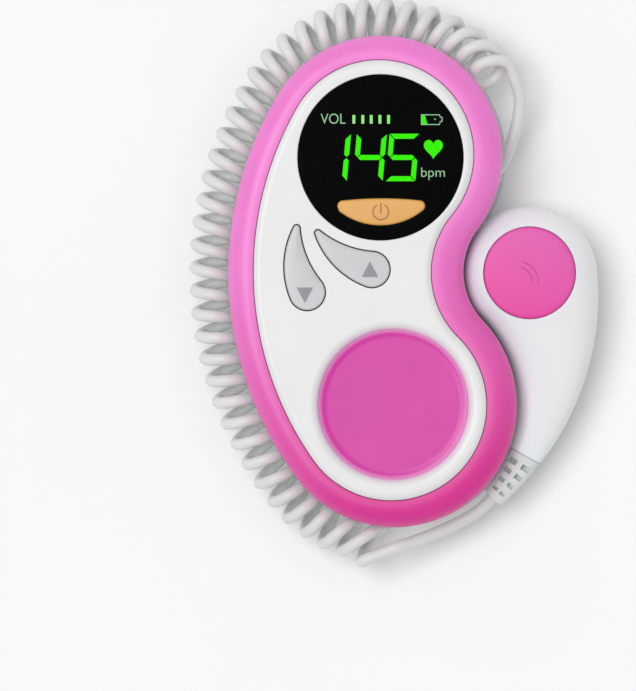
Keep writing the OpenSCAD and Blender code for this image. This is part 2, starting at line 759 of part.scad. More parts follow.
body_steps = 14;
shell_m = head_steps + body_steps;
shell_n = 12;
function station(i, t) = i < head_steps
    ? -(head_r - t) * cos(90 * i / head_steps)
    : probe_l * (i - head_steps) / body_steps;
function shell_point(s, t, j) = let (
    a = 180 * j / shell_n,
    p = spine(s) + side_of(s) * half_w(s, t) * root(cos(a), 2 / power))
    [p.x, p.y, split_z + half_h(s, t) * root(sin(a), 2 / power)];
function shell_id(k, i, j) = k * (1 + shell_m * (shell_n + 1)) + (i == 0 ? 0 : 1 + (i-1) * (shell_n + 1) + j);
module half_shell() {
    polyhedron(
        [for (t = [0, shell_t]) each [
            shell_point(station(0, t), t, 0),
            for (i = [1 : shell_m], j = [0 : shell_n]) shell_point(station(i, t), t, j)]],
        [for (j = [0 : shell_n-1]) each [
            [shell_id(0, 0, j), shell_id(0, 1, j), shell_id(0, 1, j+1)],
            [shell_id(1, 0, j), shell_id(1, 1, j+1), shell_id(1, 1, j)]],
         for (i = [1 : shell_m-1], j = [0 : shell_n-1]) each [
            [shell_id(0, i, j), shell_id(0, i+1, j), shell_id(0, i+1, j+1)],
            [shell_id(0, i, j), shell_id(0, i+1, j+1), shell_id(0, i, j+1)],
            [shell_id(1, i, j), shell_id(1, i+1, j+1), shell_id(1, i+1, j)],
            [shell_id(1, i, j), shell_id(1, i, j+1), shell_id(1, i+1, j+1)]],
         for (i = [0 : shell_m-1]) each [
            [shell_id(0, i, 0), shell_id(1, i, 0), shell_id(1, i+1, 0)],
            [shell_id(0, i, 0), shell_id(1, i+1, 0), shell_id(0, i+1, 0)],
            [shell_id(0, i, shell_n), shell_id(0, i+1, shell_n), shell_id(1, i+1, shell_n)],
            [shell_id(0, i, shell_n), shell_id(1, i+1, shell_n), shell_id(1, i, shell_n)]],
         for (j = [0 : shell_n-1]) each [
            [shell_id(0, shell_m, j), shell_id(1, shell_m, j), shell_id(1, shell_m, j+1)],
            [shell_id(0, shell_m, j), shell_id(1, shell_m, j+1), shell_id(0, shell_m, j+1)]]]);
}
pad_floor = split_z + 8.6;
pad_boss = 14.4;
probe_screws_at = [spine(24), spine(37)];
probe_posts = [half_h(24, 0), half_h(37, 0)];
module probe_front_shell() {
    color("#ededed") difference() {
        union() {
            half_shell();
            disc(head, pad_boss, pad_floor - 2, pad_floor + 0.2);
            for (k = [0, 1]) disc(probe_screws_at[k], 2.6, split_z, split_z + probe_posts[k] - 1);
        }
        disc(head, pad_r + 0.1, pad_floor, split_z + head_h + 2);
        for (k = [0, 1]) disc(probe_screws_at[k], 1 + screw_fit, split_z - 1, split_z + probe_posts[k] - 2.4);
    }
}
module probe_rear_shell() {
    color("#e9e9e9") difference() {
        union() {
            translate([0, 0, 2 * split_z]) mirror([0, 0, 1]) half_shell();
            for (k = [0, 1]) disc(probe_screws_at[k], 3, split_z - probe_posts[k] + 1, split_z);
        }
        disc(head, lens_r + 0.1, 0, split_z - head_h + 5);
        for (k = [0, 1]) {
            disc(probe_screws_at[k], 1.2, 0, split_z + 1);
            disc(probe_screws_at[k], 2, 0, split_z - probe_posts[k] + 3);
        }
    }
}
module probe_pad() {
    h = split_z + head_h - pad_floor - 1.2;
    color("#e366b4") translate([head.x, head.y, pad_floor]) rotate_extrude() polygon([
        [0, 0], [pad_r, 0], [pad_r, h - 1.1], [pad_r - 0.2, h - 0.8], [pad_r - 0.6, h - 0.6],
        for (k = [0 : 5]) let (r = (pad_r - 0.8) * (1 - k / 5)) [r, h - 0.55 + 0.55 * (1 - pow(r / pad_r, 2))]]);
}
lens_z = split_z - head_h;
module transducer_lens() {
    color("#c9c9cd") translate([head.x, head.y, lens_z]) rotate_extrude() polygon([
        [0, -1], [4, -0.9], [8, -0.5], [lens_r - 0.6, 0.2], [lens_r, 0.9], [lens_r, 3], [0, 3]]);
}
module piezo_crystals() {
    color("#d8c9a0") for (s = [-1, 1]) intersection() {
        disc(head, 9, lens_z + 3, lens_z + 4.2);
        block([head.x - 12, head.y + (s > 0 ? 0.6 : -12), lens_z], [head.x + 12, head.y + (s > 0 ? 12 : -0.6), lens_z + 6]);
    }
}
module transducer_holder() {
    color("#55585c") difference() {
        union() {
            disc(head, lens_r - 0.1, lens_z + 3, lens_z + 6.6);
            disc(head, lens_r + 1, lens_z + 5.4, lens_z + 6.6);
        }
        disc(head, 9.1, lens_z + 2, lens_z + 5.4);
        disc(head, 2, lens_z + 5, lens_z + 9);
    }
}
module damping_block() {
    color("#b7a58a") disc(head, 9, lens_z + 4.2, lens_z + 5.4);
}
module probe_board() {
    color("#2f7d4a") block([head.x - 9, head.y - 7, lens_z + 6.6], [head.x + 9, head.y + 7, lens_z + 8]);
}
module probe_screws() {
    color("#b0b4b8") for (k = [0, 1]) {
        z = split_z - probe_posts[k] + 3;
        disc(probe_screws_at[k], 1.8, z - 1.2, z);
        disc(probe_screws_at[k], 1, z - 0.5, split_z + probe_posts[k] - 3);
    }
}

/* bend relief on the neck */
boot_steps = 5;
boot_n = 20;
boot_end_w = 3.1;
function boot_ring(k) = let (s = probe_l + boot_l * k, w = mix(neck_w - 0.1, boot_end_w, k), h = mix(neck_h - 0.1, boot_end_w, k))
    [for (i = [0 : boot_n-1]) let (a = 360 * (i + 0.5) / boot_n, p = spine(s) + side_of(s) * w * root(cos(a), 0.6))
        [p.x, p.y, split_z + h * root(sin(a), 0.6)]];
boot_from = spine(probe_l);
boot_to = spine(probe_l + boot_l);
boot_a = arc_a(probe_l + boot_l) - 90;
module probe_boot() {
    color("#e6e6e6") difference() {
        stack([for (k = [0 : boot_steps]) boot_ring(k / boot_steps)],
            [boot_from.x, boot_from.y, split_z], [boot_to.x, boot_to.y, split_z]);
        for (k = [0 : 3], side = [-1, 1]) {
            s = probe_l + 3 + 3.1 * k;
            size = 1 - 0.13 * k;
            at = spine(s) + side * side_of(s) * 2.05 * size;
            translate([at.x, at.y, split_z + 1.6]) rotate([0, 0, arc_a(s)])
                block([-1.25 * size, -0.8 * size, 0], [1.25 * size, 0.8 * size, 6]);
        }
    }
}

/* coiled cord round the waist, from the lower edge clockwise to the upper right */
back_from = angle_of(lower - body[2]) + 360;
back_to = angle_of(upper - body[2]);
coil_start_a = 256;
coil_end_a = 38.6;
tips_out = coil_out + curl_r + cord_d / 2;
coil_arcs = [[lower, lower_r, coil_start_a, back_from], [body[2], back_r, back_from, back_to],
    [upper, upper_r, back_to, coil_end_a]];
coil_runs = [for (g = coil_arcs) (g[1] + tips_out) * (g[2] - g[3]) * PI / 180];
coil_len = coil_runs[0] + coil_runs[1] + coil_runs[2];
// curls keep one pitch; the first ones are drawn back and slant, and the last ones spread
curl_pitch = 6.53;
lag = 3;
slant_turns = 3;
slant_swing = 40;
slant_back = 2.4;
slant_grow = 0.12;
function spread(t) = curl_pitch * t - lag - slant_back * ease(1 - t / slant_turns)
    + 0.06 * pow(max(0, t - curls + 8), 2);
// the last curls fan out: their number, and the tilt, swing, rise, shift and growth they end with
fan_grow = 0.1;
fan_turns = 4.7;
fan_tilt = 51;
fan_swing = 16;
fan_rise = 3.8;
fan_out = 0.7;
function coil_spot(q) = q < coil_runs[0] ? [0, q] :
    q < coil_runs[0] + coil_runs[1] ? [1, q - coil_runs[0]] : [2, q - coil_runs[0] - coil_runs[1]];
function helix(t) = let (
    spot = coil_spot(spread(t)), g = coil_arcs[spot[0]],
    a = g[2] - spot[1] / (g[1] + tips_out) * 180 / PI,
    b = ease((t - curls) / fan_turns + 1),
    sl = ease(2 * t) * ease(1 - t / slant_turns),
    c = g[0] + (g[1] + coil_out + fan_out * b) * ray(a),
    a2 = a - fan_swing * b - slant_swing * sl, tilt = fan_tilt * b, th = -360 * t,
    r = curl_r * (1 + fan_grow * b + slant_grow * sl),
    e2 = [-sin(tilt) * sin(a2), sin(tilt) * cos(a2), cos(tilt)])
    [c.x, c.y, coil_z + fan_rise * b] + r * (cos(th) * [cos(a2), sin(a2), 0] + sin(th) * e2);
pace = 31.5;
start_at = [-3, -78.3, 18.3];
start_dir = unit([-0.93, -0.36, 0.05]);
start_t = -0.25;
end_at = [40.3, 56.8, 18];
end_dir = unit([0.36, -0.86, -0.3]);
end_t = curls + 0.06;
function coil_path(t) = let (
    h = helix(t),
    s = mix(start_at + pace * t * start_dir, h, ease((t + 0.1) / 0.4)))
    mix(s, end_at + pace * (t - end_t) * end_dir, ease((t - end_t + 0.32) / 0.32));
coil_step = 0.125;
coil_points = [for (k = [0 : round((curls - start_t) / coil_step) + 1]) coil_path(start_t + coil_step * k)];
module curly_cord() {
    color("#e2e2e2") tube(coil_points, cord_d / 2, 6, [0, 0, 1]);
}

/* straight stretches of the cord */
lead_dir = [cos(boot_a), sin(boot_a), 0];
lead_from = [boot_to.x, boot_to.y, split_z];
lead_points = [lead_from, lead_from + cord_d * lead_dir, [28.9, -65, 14.7], [26, -66.7, 14.4],
    [22.6, -68.5, 14.3], [18.9, -70.1, 14.6], [15, -71.7, 15.2], [11, -73.2, 16.1],
    for (d = [cord_d, 0.15]) coil_points[0] - d * unit(coil_points[1] - coil_points[0])];
tail_from = coil_points[len(coil_points)-1];
tail_to = [gland_at.x, gland_at.y, coil_z];
tail_dir = [gland_dir.x, gland_dir.y, 0];
tail_points = [tail_from, tail_from + 2 * unit(tail_from - coil_points[len(coil_points)-2]), [41.7, 50.5, 15.8],
    [41.4, 46.9, 14.8], [40.5, 43, 14.2], [39.4, 39.6, 14.2], [38.3, 36.6, 14.4], tail_to + cord_d * tail_dir, tail_to];
module cord_lead() {
    color("#e2e2e2") tube(lead_points, cord_d / 2, 8, [0, 0, 1]);
}
module cord_tail() {
    color("#e2e2e2") tube(tail_points, cord_d / 2, 8, [0, 0, 1]);
}

// least space between one curl and any other, from the cord's surface
coil_gap = min([for (i = [0 : len(coil_points)-6], j = [i+5 : min(len(coil_points)-1, i+24)])
    norm(coil_points[i] - coil_points[j])]) - cord_d;
echo(coil_gap = coil_gap, coil_len = coil_len);

rear_cover();
battery_cover();
waist_frame();
front_rim();
front_panel();
display_window();
digit_segments();
display_module();
display_gasket();
dish_inlay();
power_button();
power_plunger();
volume_down_button();
volume_down_plunger();
volume_up_button();
volume_up_plunger();
tact_switches();
main_board();
board_screws();
speaker_frame();
speaker_cone();
speaker_magnet();
battery_cells();
contact_plates();
contact_springs();
case_screws();
headphone_socket();
cord_gland();
probe_dock();
probe_front_shell();
probe_rear_shell();
probe_pad();
transducer_lens();
piezo_crystals();
transducer_holder();
damping_block();
probe_board();
probe_screws();
probe_boot();
cord_lead();
curly_cord();
cord_tail();
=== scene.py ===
# %% [markdown]
# # A fetal heart monitor, built in cells
# The real object is a hand unit of moulded plastic with a round display, and a probe
# on a coiled cord that docks in its side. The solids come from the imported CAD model.
# This file gives every surface its finish, and rebuilds the rounded shells with finer
# meshes than the solids have.

# %% Load the frame
from math import asin, atan, atan2, copysign, cos, degrees, hypot, pi, radians, sin, sqrt, tan
import bpy
import bmesh
import numpy as np
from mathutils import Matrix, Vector
from mathutils.geometry import tessellate_polygon


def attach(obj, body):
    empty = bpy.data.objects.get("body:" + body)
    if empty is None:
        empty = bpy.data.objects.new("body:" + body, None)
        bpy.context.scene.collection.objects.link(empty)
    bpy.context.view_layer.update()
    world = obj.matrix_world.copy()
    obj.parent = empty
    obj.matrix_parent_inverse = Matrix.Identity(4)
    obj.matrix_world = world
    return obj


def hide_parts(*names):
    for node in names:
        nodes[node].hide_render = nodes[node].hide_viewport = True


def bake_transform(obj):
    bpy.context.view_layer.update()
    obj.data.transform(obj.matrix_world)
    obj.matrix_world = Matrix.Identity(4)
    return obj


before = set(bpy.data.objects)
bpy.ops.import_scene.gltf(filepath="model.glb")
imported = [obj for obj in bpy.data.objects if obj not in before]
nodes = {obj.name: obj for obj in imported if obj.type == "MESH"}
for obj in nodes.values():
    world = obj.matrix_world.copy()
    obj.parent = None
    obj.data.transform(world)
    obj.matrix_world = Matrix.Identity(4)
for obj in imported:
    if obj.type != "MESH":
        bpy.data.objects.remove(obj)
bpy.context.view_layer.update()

# %% [markdown]
# ## Camera
# The photograph looks straight down on the device from far away, so sizes hardly
# change with depth. A long lens three metres up gives the same look. One pixel is
# 0.28 mm, and the point that faces the lens is the middle of the picture.

# %% Camera
PIXEL = 0.28
PICTURE = (636, 691)
MIDDLE = (-15.26, -17.92)
FACE_HEIGHT = 25.0
CAMERA_RISE = 3000.0
SENSOR = 36.0

def mm(*values):
    """A vector in metres from millimetres."""
    return Vector([v * 0.001 for v in values])

def show(obj):
    bpy.context.scene.collection.objects.link(obj)

camera = bpy.data.objects.new("camera", bpy.data.cameras.new("camera"))
show(camera)
bpy.context.scene.camera = camera
camera.location = mm(*MIDDLE, FACE_HEIGHT + CAMERA_RISE)
camera.data.sensor_fit = "VERTICAL"
camera.data.sensor_height = SENSOR
camera.data.lens = SENSOR * CAMERA_RISE / (PIXEL * PICTURE[1])
camera.data.clip_start, camera.data.clip_end = 0.1, 20.0
print("lens in mm:", round(camera.data.lens))

# %% [markdown]
# ## Drawing with tangent arcs
# The body and the drop-shaped buttons share one kind of outline: a circle at each
# end, an arc that bulges on one side, and one that hollows the other. The functions
# give points along it and the outward direction at each, so that rims, edges and
# gaps are made by stepping from one curve.

# %% Outline helpers
def ray(angle):
    """The unit vector at an angle in degrees."""
    a = radians(angle)
    return np.array([cos(a), sin(a)])

def heading(v):
    return degrees(atan2(v[1], v[0]))

def unit(v):
    return np.asarray(v, float) / np.linalg.norm(v)

def side_centre(a, b, from_a, from_b):
    """The point at two given distances from a and b, left of the way from a to b."""
    span = np.linalg.norm(b - a)
    u = (b - a) / span
    x = (from_a**2 - from_b**2 + span**2) / (2 * span)
    return a + x * u + sqrt(from_a**2 - x * x) * np.array([-u[1], u[0]])

def swept(arcs):
    """Points along arcs and the outward direction at each.
    An arc is its centre, radius, start, stop, way round and count of points."""
    points, outward = [], []
    for centre, radius, start, stop, way, count in arcs:
        sweep = way * ((way * (stop - start)) % 360)
        for k in range(count):
            n = ray(start + sweep * k / count)
            points.append(centre + radius * n)
            outward.append(way * n)
    return np.array(points), np.array(outward)

def outline(a, b, r_a, r_b, r_bulge, r_hollow, counts):
    """The outline round two circles, with so many points on each arc."""
    a, b = np.array(a, float), np.array(b, float)
    bulge = side_centre(a, b, r_bulge - r_a, r_bulge - r_b)
    hollow = side_centre(a, b, r_hollow + r_a, r_hollow + r_b)
    arcs = [
        (a, r_a, heading(hollow - a), heading(a - bulge), 1),
        (bulge, r_bulge, heading(a - bulge), heading(b - bulge), 1),
        (b, r_b, heading(b - bulge), heading(hollow - b), 1),
        (hollow, r_hollow, heading(b - hollow), heading(a - hollow), -1),
    ]
    return swept([(*arc, count) for arc, count in zip(arcs, counts)])

# The two lobes of the body, the bulge on its long side, and the hollow that the probe docks in.
UPPER, LOWER = np.array((2.5, 35.0)), np.array((6.2, -34.6))
UPPER_R, LOWER_R, BACK_R, DOCK_R = 33.8, 34.2, 96.0, 19.8
BODY_COUNTS = (120, 40, 128, 56)
body_edge, body_out = outline(UPPER, LOWER, UPPER_R, LOWER_R, BACK_R, DOCK_R, BODY_COUNTS)
print("body outline:", len(body_edge), "points")

# %% [markdown]
# ## Coiled cord
# On the real object the cord is a round jacket wound on a mandrel and baked, so it
# keeps its curls. A helix follows the body's outline from the lower edge round the
# long side to the upper right, where its last curls fan out. One formula gives every
# curl, because that keeps them alike as the mandrel does.

# %% Cord path
CORD_D, CURLS, CURL_R, COIL_OUT, COIL_Z = 3.4, 38, 4.95, 4.45, 14.5
PITCH, LAG, POINTS_PER_CURL = 6.53, 3.0, 24
COIL_FROM, COIL_TO = 256, 38.6
# The last curls spread along the body, lean over, swing back, rise and grow.
SPREAD, SPREAD_TURNS = 0.06, 8
FAN_TURNS, FAN_TILT, FAN_SWING, FAN_RISE, FAN_OUT, FAN_GROW = 4.7, 51, 16, 3.8, 0.7, 0.1
# The first curls lie slanted, where the cord comes in from the probe.
SLANT_TURNS, SLANT_SWING, SLANT_BACK, SLANT_GROW = 3, 40, 2.4, 0.12
# Where the cord enters and leaves the winding, which way, and over how much of a turn.
IN_AT, IN_WAY, IN_TURN, IN_BLEND = np.array([-3, -78.3, 18.3]), (-0.93, -0.36, 0.05), -0.1, 0.4
OUT_AT, OUT_WAY, OUT_TURN, OUT_BLEND = np.array([40.3, 56.8, 18]), (0.36, -0.86, -0.3), CURLS + 0.06, 0.32
TURN_PACE, FIRST_TURN, LAST_TURN = 31.5, -0.25, CURLS + 0.1251
TIPS_OUT = COIL_OUT + CURL_R + CORD_D / 2
back = side_centre(UPPER, LOWER, BACK_R - UPPER_R, BACK_R - LOWER_R)
back_from, back_to = heading(LOWER - back) + 360, heading(UPPER - back)
coil_arcs = [(LOWER, LOWER_R, COIL_FROM, back_from), (back, BACK_R, back_from, back_to),
             (UPPER, UPPER_R, back_to, COIL_TO)]
coil_runs = [(r + TIPS_OUT) * radians(a - b) for _, r, a, b in coil_arcs]

def ease(x):
    """From 0 to 1 with a soft start and end."""
    c = min(1.0, max(0.0, x))
    return c * c * (3 - 2 * c)

def helix(turn):
    """The winding: one curl for each unit of turn."""
    slant = ease(1 - turn / SLANT_TURNS)
    along = PITCH * turn - LAG - SLANT_BACK * slant + SPREAD * max(0, turn - CURLS + SPREAD_TURNS) ** 2
    slant *= ease(2 * turn)
    k = 0
    while k < 2 and along >= coil_runs[k]:
        along -= coil_runs[k]
        k += 1
    centre, radius, start, _ = coil_arcs[k]
    a = start - degrees(along / (radius + TIPS_OUT))
    fan = ease((turn - CURLS) / FAN_TURNS + 1)
    x, y = centre + (radius + COIL_OUT + FAN_OUT * fan) * ray(a)
    c, s = ray(a - FAN_SWING * fan - SLANT_SWING * slant)
    lean_c, lean_s = ray(FAN_TILT * fan)
    round_c, round_s = ray(-360 * turn)
    across = np.array([c, s, 0])
    up = np.array([-lean_s * s, lean_s * c, lean_c])
    r = CURL_R * (1 + FAN_GROW * fan + SLANT_GROW * slant)
    return np.array([x, y, COIL_Z + FAN_RISE * fan]) + r * (round_c * across + round_s * up)

def coil_point(turn):
    """The winding with both ends eased into straight lines."""
    lead_in = IN_AT + TURN_PACE * turn * unit(IN_WAY)
    k = ease((turn - IN_TURN) / IN_BLEND)
    p = lead_in * (1 - k) + helix(turn) * k
    lead_out = OUT_AT + TURN_PACE * (turn - OUT_TURN) * unit(OUT_WAY)
    k = ease((turn - OUT_TURN + OUT_BLEND) / OUT_BLEND)
    return p * (1 - k) + lead_out * k

def through(points, step):
    """A smooth path through points, with a point every step or so."""
    points = [np.array(p, float) for p in points]
    ends = [2 * points[0] - points[1], *points, 2 * points[-1] - points[-2]]
    path = []
    for a, b, c, d in zip(ends, ends[1:], ends[2:], ends[3:]):
        count = max(2, round(np.linalg.norm(c - b) / step))
        for t in np.arange(count) / count:
            path.append(0.5 * (2 * b + (c - a) * t + (2 * a - 5 * b + 4 * c - d) * t**2
                               + (3 * b - 3 * c + d - a) * t**3))
    return path + [points[-1]]

def relaxed(path, first, rounds=40, reach=8):
    """The path with its corners drawn out past one point. Its end stays."""
    soft = np.array(path, float)
    for _ in range(rounds):
        soft[1:-1] = 0.5 * soft[1:-1] + 0.25 * (soft[:-2] + soft[2:])
    shares = [ease((k - first) / reach) for k in range(len(path))]
    return [p * (1 - k) + q * k for p, q, k in zip(path, soft, shares)]

def length_of(path):
    return float(sum(np.linalg.norm(np.subtract(b, a)) for a, b in zip(path, path[1:])))

coil = [coil_point(t) for t in np.arange(FIRST_TURN, LAST_TURN, 1 / POINTS_PER_CURL)]
print("coil:", len(coil), "points,", round(length_of(coil)), "mm of cord")

# %% [markdown]
# ## Free end of the cord
# Past its last ring the cord hangs free in a bow and goes into a gland under the rim.
# Its points are chosen along the bow in the photograph. A smooth path runs
# through them, and the corner where it meets the ring is drawn out.

# %% Tail of the cord
CORD_STEP = 0.8
GLAND_INSET, GLAND_ANGLE, GLAND_WAY = 1.1, -7.4, (0.7, 0.714)
TAIL_STUB, POINTS_EASED = 2, 7
TAIL_POINTS = [(41.7, 50.5, 15.8), (41.4, 46.9, 14.8), (40.5, 43, 14.2), (39.4, 39.6, 14.2),
               (38.3, 36.6, 14.4)]
gland_way = np.array([*unit(GLAND_WAY), 0])
gland_mouth = np.array([*(UPPER + (UPPER_R - GLAND_INSET) * ray(GLAND_ANGLE)), COIL_Z])
tail = through([coil[-1], coil[-1] + TAIL_STUB * unit(coil[-1] - coil[-2]), *TAIL_POINTS,
                gland_mouth + CORD_D * gland_way, gland_mouth], CORD_STEP)
coil_and_tail = relaxed(coil[:-1] + tail, len(coil) - POINTS_EASED)
print("coil and tail:", round(length_of(coil_and_tail)), "mm of cord")

# %% [markdown]
# ## Probe's centre line
# The probe is straight in its round head and then follows one arc to its neck. The
# same line gives the far end of the bend relief, where the first stretch of cord starts.

# %% Probe line
HEAD_R, HEAD_H, SPLIT_Z, NECK_W, NECK_H = 18.9, 12.0, 15.0, 4.8, 4.7
BOOT_L, PAD_R, LENS_R = 15.0, 12.9, 11.0
# The head sits near the middle of the hollow. Two points beside the lower lobe steer the neck's arc.
HEAD_SHIFT = (-1.3, -0.25)
BELLY_GAP, BELLY_ANGLE = 11.1, 16.1
NECK_GAP, NECK_ANGLE = 0.16, -21.3
LEAD_SUNK = 1.5
LEAD_POINTS = [(28.9, -65, 14.7), (26, -66.7, 14.4), (22.6, -68.5, 14.3), (18.9, -70.1, 14.6),
               (15, -71.7, 15.2), (11, -73.2, 16.1)]

def circle_through(a, b, c):
    """The centre of the circle through three points."""
    m = 2 * np.array([b - a, c - a])
    return np.linalg.solve(m, [b @ b - a @ a, c @ c - a @ a])

dock = side_centre(UPPER, LOWER, DOCK_R + UPPER_R, DOCK_R + LOWER_R)
head = dock + HEAD_SHIFT
neck = LOWER + (LOWER_R + NECK_W + NECK_GAP) * ray(NECK_ANGLE)
bend = circle_through(head, LOWER + (LOWER_R + BELLY_GAP) * ray(BELLY_ANGLE), neck)
bend_r = np.linalg.norm(neck - bend)
head_a, neck_a = heading(head - bend), heading(neck - bend)
probe_l = bend_r * radians(head_a - neck_a)

def arc_a(s):
    """The angle on the neck's arc, s millimetres past the head's centre."""
    return head_a - degrees(max(s, 0) / bend_r)

def spine(s):
    """The point of the centre line, s millimetres past the head's centre."""
    a = radians(head_a)
    return bend + bend_r * ray(arc_a(s)) + min(s, 0) * np.array([sin(a), -cos(a)])

boot_end = np.array([*spine(probe_l + BOOT_L), SPLIT_Z])
boot_way = np.array([*ray(arc_a(probe_l + BOOT_L) - 90), 0])
lead = through([boot_end - LEAD_SUNK * boot_way, boot_end, boot_end + CORD_D * boot_way, *LEAD_POINTS,
                coil[0] - CORD_D * unit(coil[1] - coil[0]), coil[0]], CORD_STEP)
print("probe:", round(probe_l, 1), "mm from head to neck; lead:", round(length_of(lead)), "mm")

# %% [markdown]
# ## Colour, nodes and finishes
# Colours are written in sRGB and turned to linear light in one place. Every finish is
# built from the same four causes that a real surface has: its own colour, a faint
# unevenness of tone, a fine texture left by the mould or the tool, and how sharply it
# mirrors light. Some finishes also get painted light and shade in their colour.
# Distances are given in millimetres.

# %% Node helpers
NOISE_RANGE = {"From Min": 0.3, "From Max": 0.7}

def linear(code):
    parts = [int(code[i:i + 2], 16) / 255 for i in (1, 3, 5)]
    return (*[c / 12.92 if c <= 0.04045 else ((c + 0.055) / 1.055) ** 2.4 for c in parts], 1.0)

def fill(tree, node, values):
    """Fills a node's sockets, by a value or by a link."""
    for name, value in values.items():
        if isinstance(value, bpy.types.NodeSocket):
            tree.links.new(value, node.inputs[name])
        else:
            node.inputs[name].default_value = value

def add(tree, kind, values=None, **settings):
    """A new node with its settings made and its sockets filled."""
    made = tree.nodes.new(kind)
    for name, value in settings.items():
        setattr(made, name, value)
    fill(tree, made, values or {})
    return made

def new_material(name):
    """A material with one surface node, and the coordinates that its patterns use."""
    material = bpy.data.materials.new(name)
    material.use_nodes = True
    material.node_tree.nodes.clear()
    tree = material.node_tree
    surface = add(tree, "ShaderNodeBsdfPrincipled")
    add(tree, "ShaderNodeOutputMaterial", {"Surface": surface.outputs[0]})
    place = add(tree, "ShaderNodeTexCoord").outputs["Object"]
    return material, tree, surface, place

def speckle(tree, place, size_mm, detail=2.0):
    """Noise whose spots are about size_mm across."""
    noise = add(tree, "ShaderNodeTexNoise", {"Vector": place, "Scale": 1000 / size_mm, "Detail": detail})
    return noise.outputs["Fac"]

def span_share(tree, distance, start, stop):
    """A share from 0 to 1 as a distance grows from start to stop millimetres."""
    return add(tree, "ShaderNodeMapRange", {"Value": distance, "From Min": 0.001 * start,
                                            "From Max": 0.001 * stop}).outputs[0]

def towards(way, start, stop):
    """A share that grows from 0 to 1 along a direction, between two distances in mm."""
    def share(tree, place):
        across = add(tree, "ShaderNodeVectorMath", {0: place, 1: way}, operation="DOT_PRODUCT")
        return span_share(tree, across.outputs["Value"], start, stop)
    return share

def away_from(centre, near, far):
    """A share that grows from 0 at near mm from an upright axis to 1 at far mm from it."""
    def share(tree, place):
        level_place = add(tree, "ShaderNodeVectorMath", {0: place, 1: (1, 1, 0)}, operation="MULTIPLY")
        span = add(tree, "ShaderNodeVectorMath", {0: level_place.outputs[0], 1: mm(*centre, 0)},
                   operation="DISTANCE")
        return span_share(tree, span.outputs["Value"], near, far)
    return share

def moulded(name, light, dark, rough, grain_mm, grain_depth, tone_mm=14.0, ior=1.5, metallic=0.0,
            gloss=0.5, painted_light=None):
    """A surface with two near tones, a fine grain, and a sheen that varies a little.
    Its last argument paints light or shade into the colour: a colour and a share, and the surface has that
    colour where the share is 0."""
    material, tree, surface, place = new_material(name)
    cloud = add(tree, "ShaderNodeMapRange", {"Value": speckle(tree, place, tone_mm), **NOISE_RANGE})
    ramp = add(tree, "ShaderNodeMixRGB", {"Fac": cloud.outputs[0], "Color1": linear(dark),
                                          "Color2": linear(light)})
    # Painted light and shade: a colour mixed in by position.
    if painted_light:
        ramp = add(tree, "ShaderNodeMixRGB", {"Fac": painted_light[1](tree, place), "Color1": linear(painted_light[0]),
                                              "Color2": ramp.outputs[0]})
    grain = speckle(tree, place, grain_mm, 3.0)
    sheen = add(tree, "ShaderNodeMapRange", {"Value": grain, **NOISE_RANGE,
                                             "To Min": rough[0], "To Max": rough[1]})
    bump = add(tree, "ShaderNodeBump", {"Height": grain, "Distance": grain_depth * 0.001, "Strength": 1.0})
    fill(tree, surface, {"Base Color": ramp.outputs[0], "Roughness": sheen.outputs[0], "IOR": ior,
                         "Normal": bump.outputs[0], "Metallic": metallic, "Specular IOR Level": gloss})
    return material

# %% [markdown]
# ## Plastics
# Every shell is injection-moulded and copies its mould, so satin parts get a grain of a
# few tenths of a millimetre and a few microns deep. Such plastics have an index of
# refraction near 1.5. Some finishes carry painted light and shade in their colour: the
# rim and the pad are painted deeper towards one side as painted shade, the panel is
# painted pink round the dish as a painted reflection of the disc, the disc is painted
# paler at its edge as a painted highlight, and the probe is painted cooler beside the
# rim as painted shade.

# %% Plastics
DISH, DISH_R = (5.8, -34.4), 20.9
# Roughness from and to, grain size and grain depth in millimetres.
SATIN = ((0.30, 0.38), 0.30, 0.004)
INK = ((0.5, 0.6), 0.2, 0.003)
case_white = moulded("abs_satin_white", "#ececee", "#e8e8ea", *SATIN)
# Painted shade: the probe is tinted cooler on its side beside the rim.
probe_white = moulded("abs_satin_white_probe", "#ececee", "#e8e8ea", *SATIN,
                      painted_light=("#e5f0f0", towards((1, 0.15, 0), 33, 48)))
cover_white = moulded("abs_textured_white", "#e6e6e8", "#e1e1e3", (0.42, 0.52), 0.45, 0.012)
wall_white = moulded("abs_matt_grey_white", "#dcdce0", "#d6d6da", (0.45, 0.55), 0.40, 0.010)
# Painted reflection: the panel is tinted pink in a narrow band round the dish, as light from the rose disc.
face_white = moulded("abs_satin_white_face", "#e6e6e6", "#e2e2e2", *SATIN,
                     painted_light=("#f2cfec", away_from(DISH, DISH_R - 0.4, DISH_R + 1.4)))
# Painted shade: the rim's colour deepens towards its lower end.
rim_pink = moulded("abs_satin_rose_rim", "#f07fd2", "#ec7acc", (0.36, 0.44), 0.35, 0.003,
                   painted_light=("#d92c92", towards((-0.3, 0.95, 0), -60, 15)))
# Painted highlight: the disc is paler in a ring at its edge.
dish_pink = moulded("abs_satin_rose", "#d32ea1", "#cf2a9d", (0.30, 0.40), 0.30, 0.004,
                    painted_light=("#e08cc8", away_from(DISH, DISH_R + 0.3, DISH_R - 1.3)))
# Painted shade: the pad's colour deepens towards its lower left.
pad_pink = moulded("tpe_soft_rose", "#e358ae", "#df54aa", (0.42, 0.52), 0.25, 0.008,
                   painted_light=("#e440a0", towards((0.6, 0.8, 0), 18, 38)))
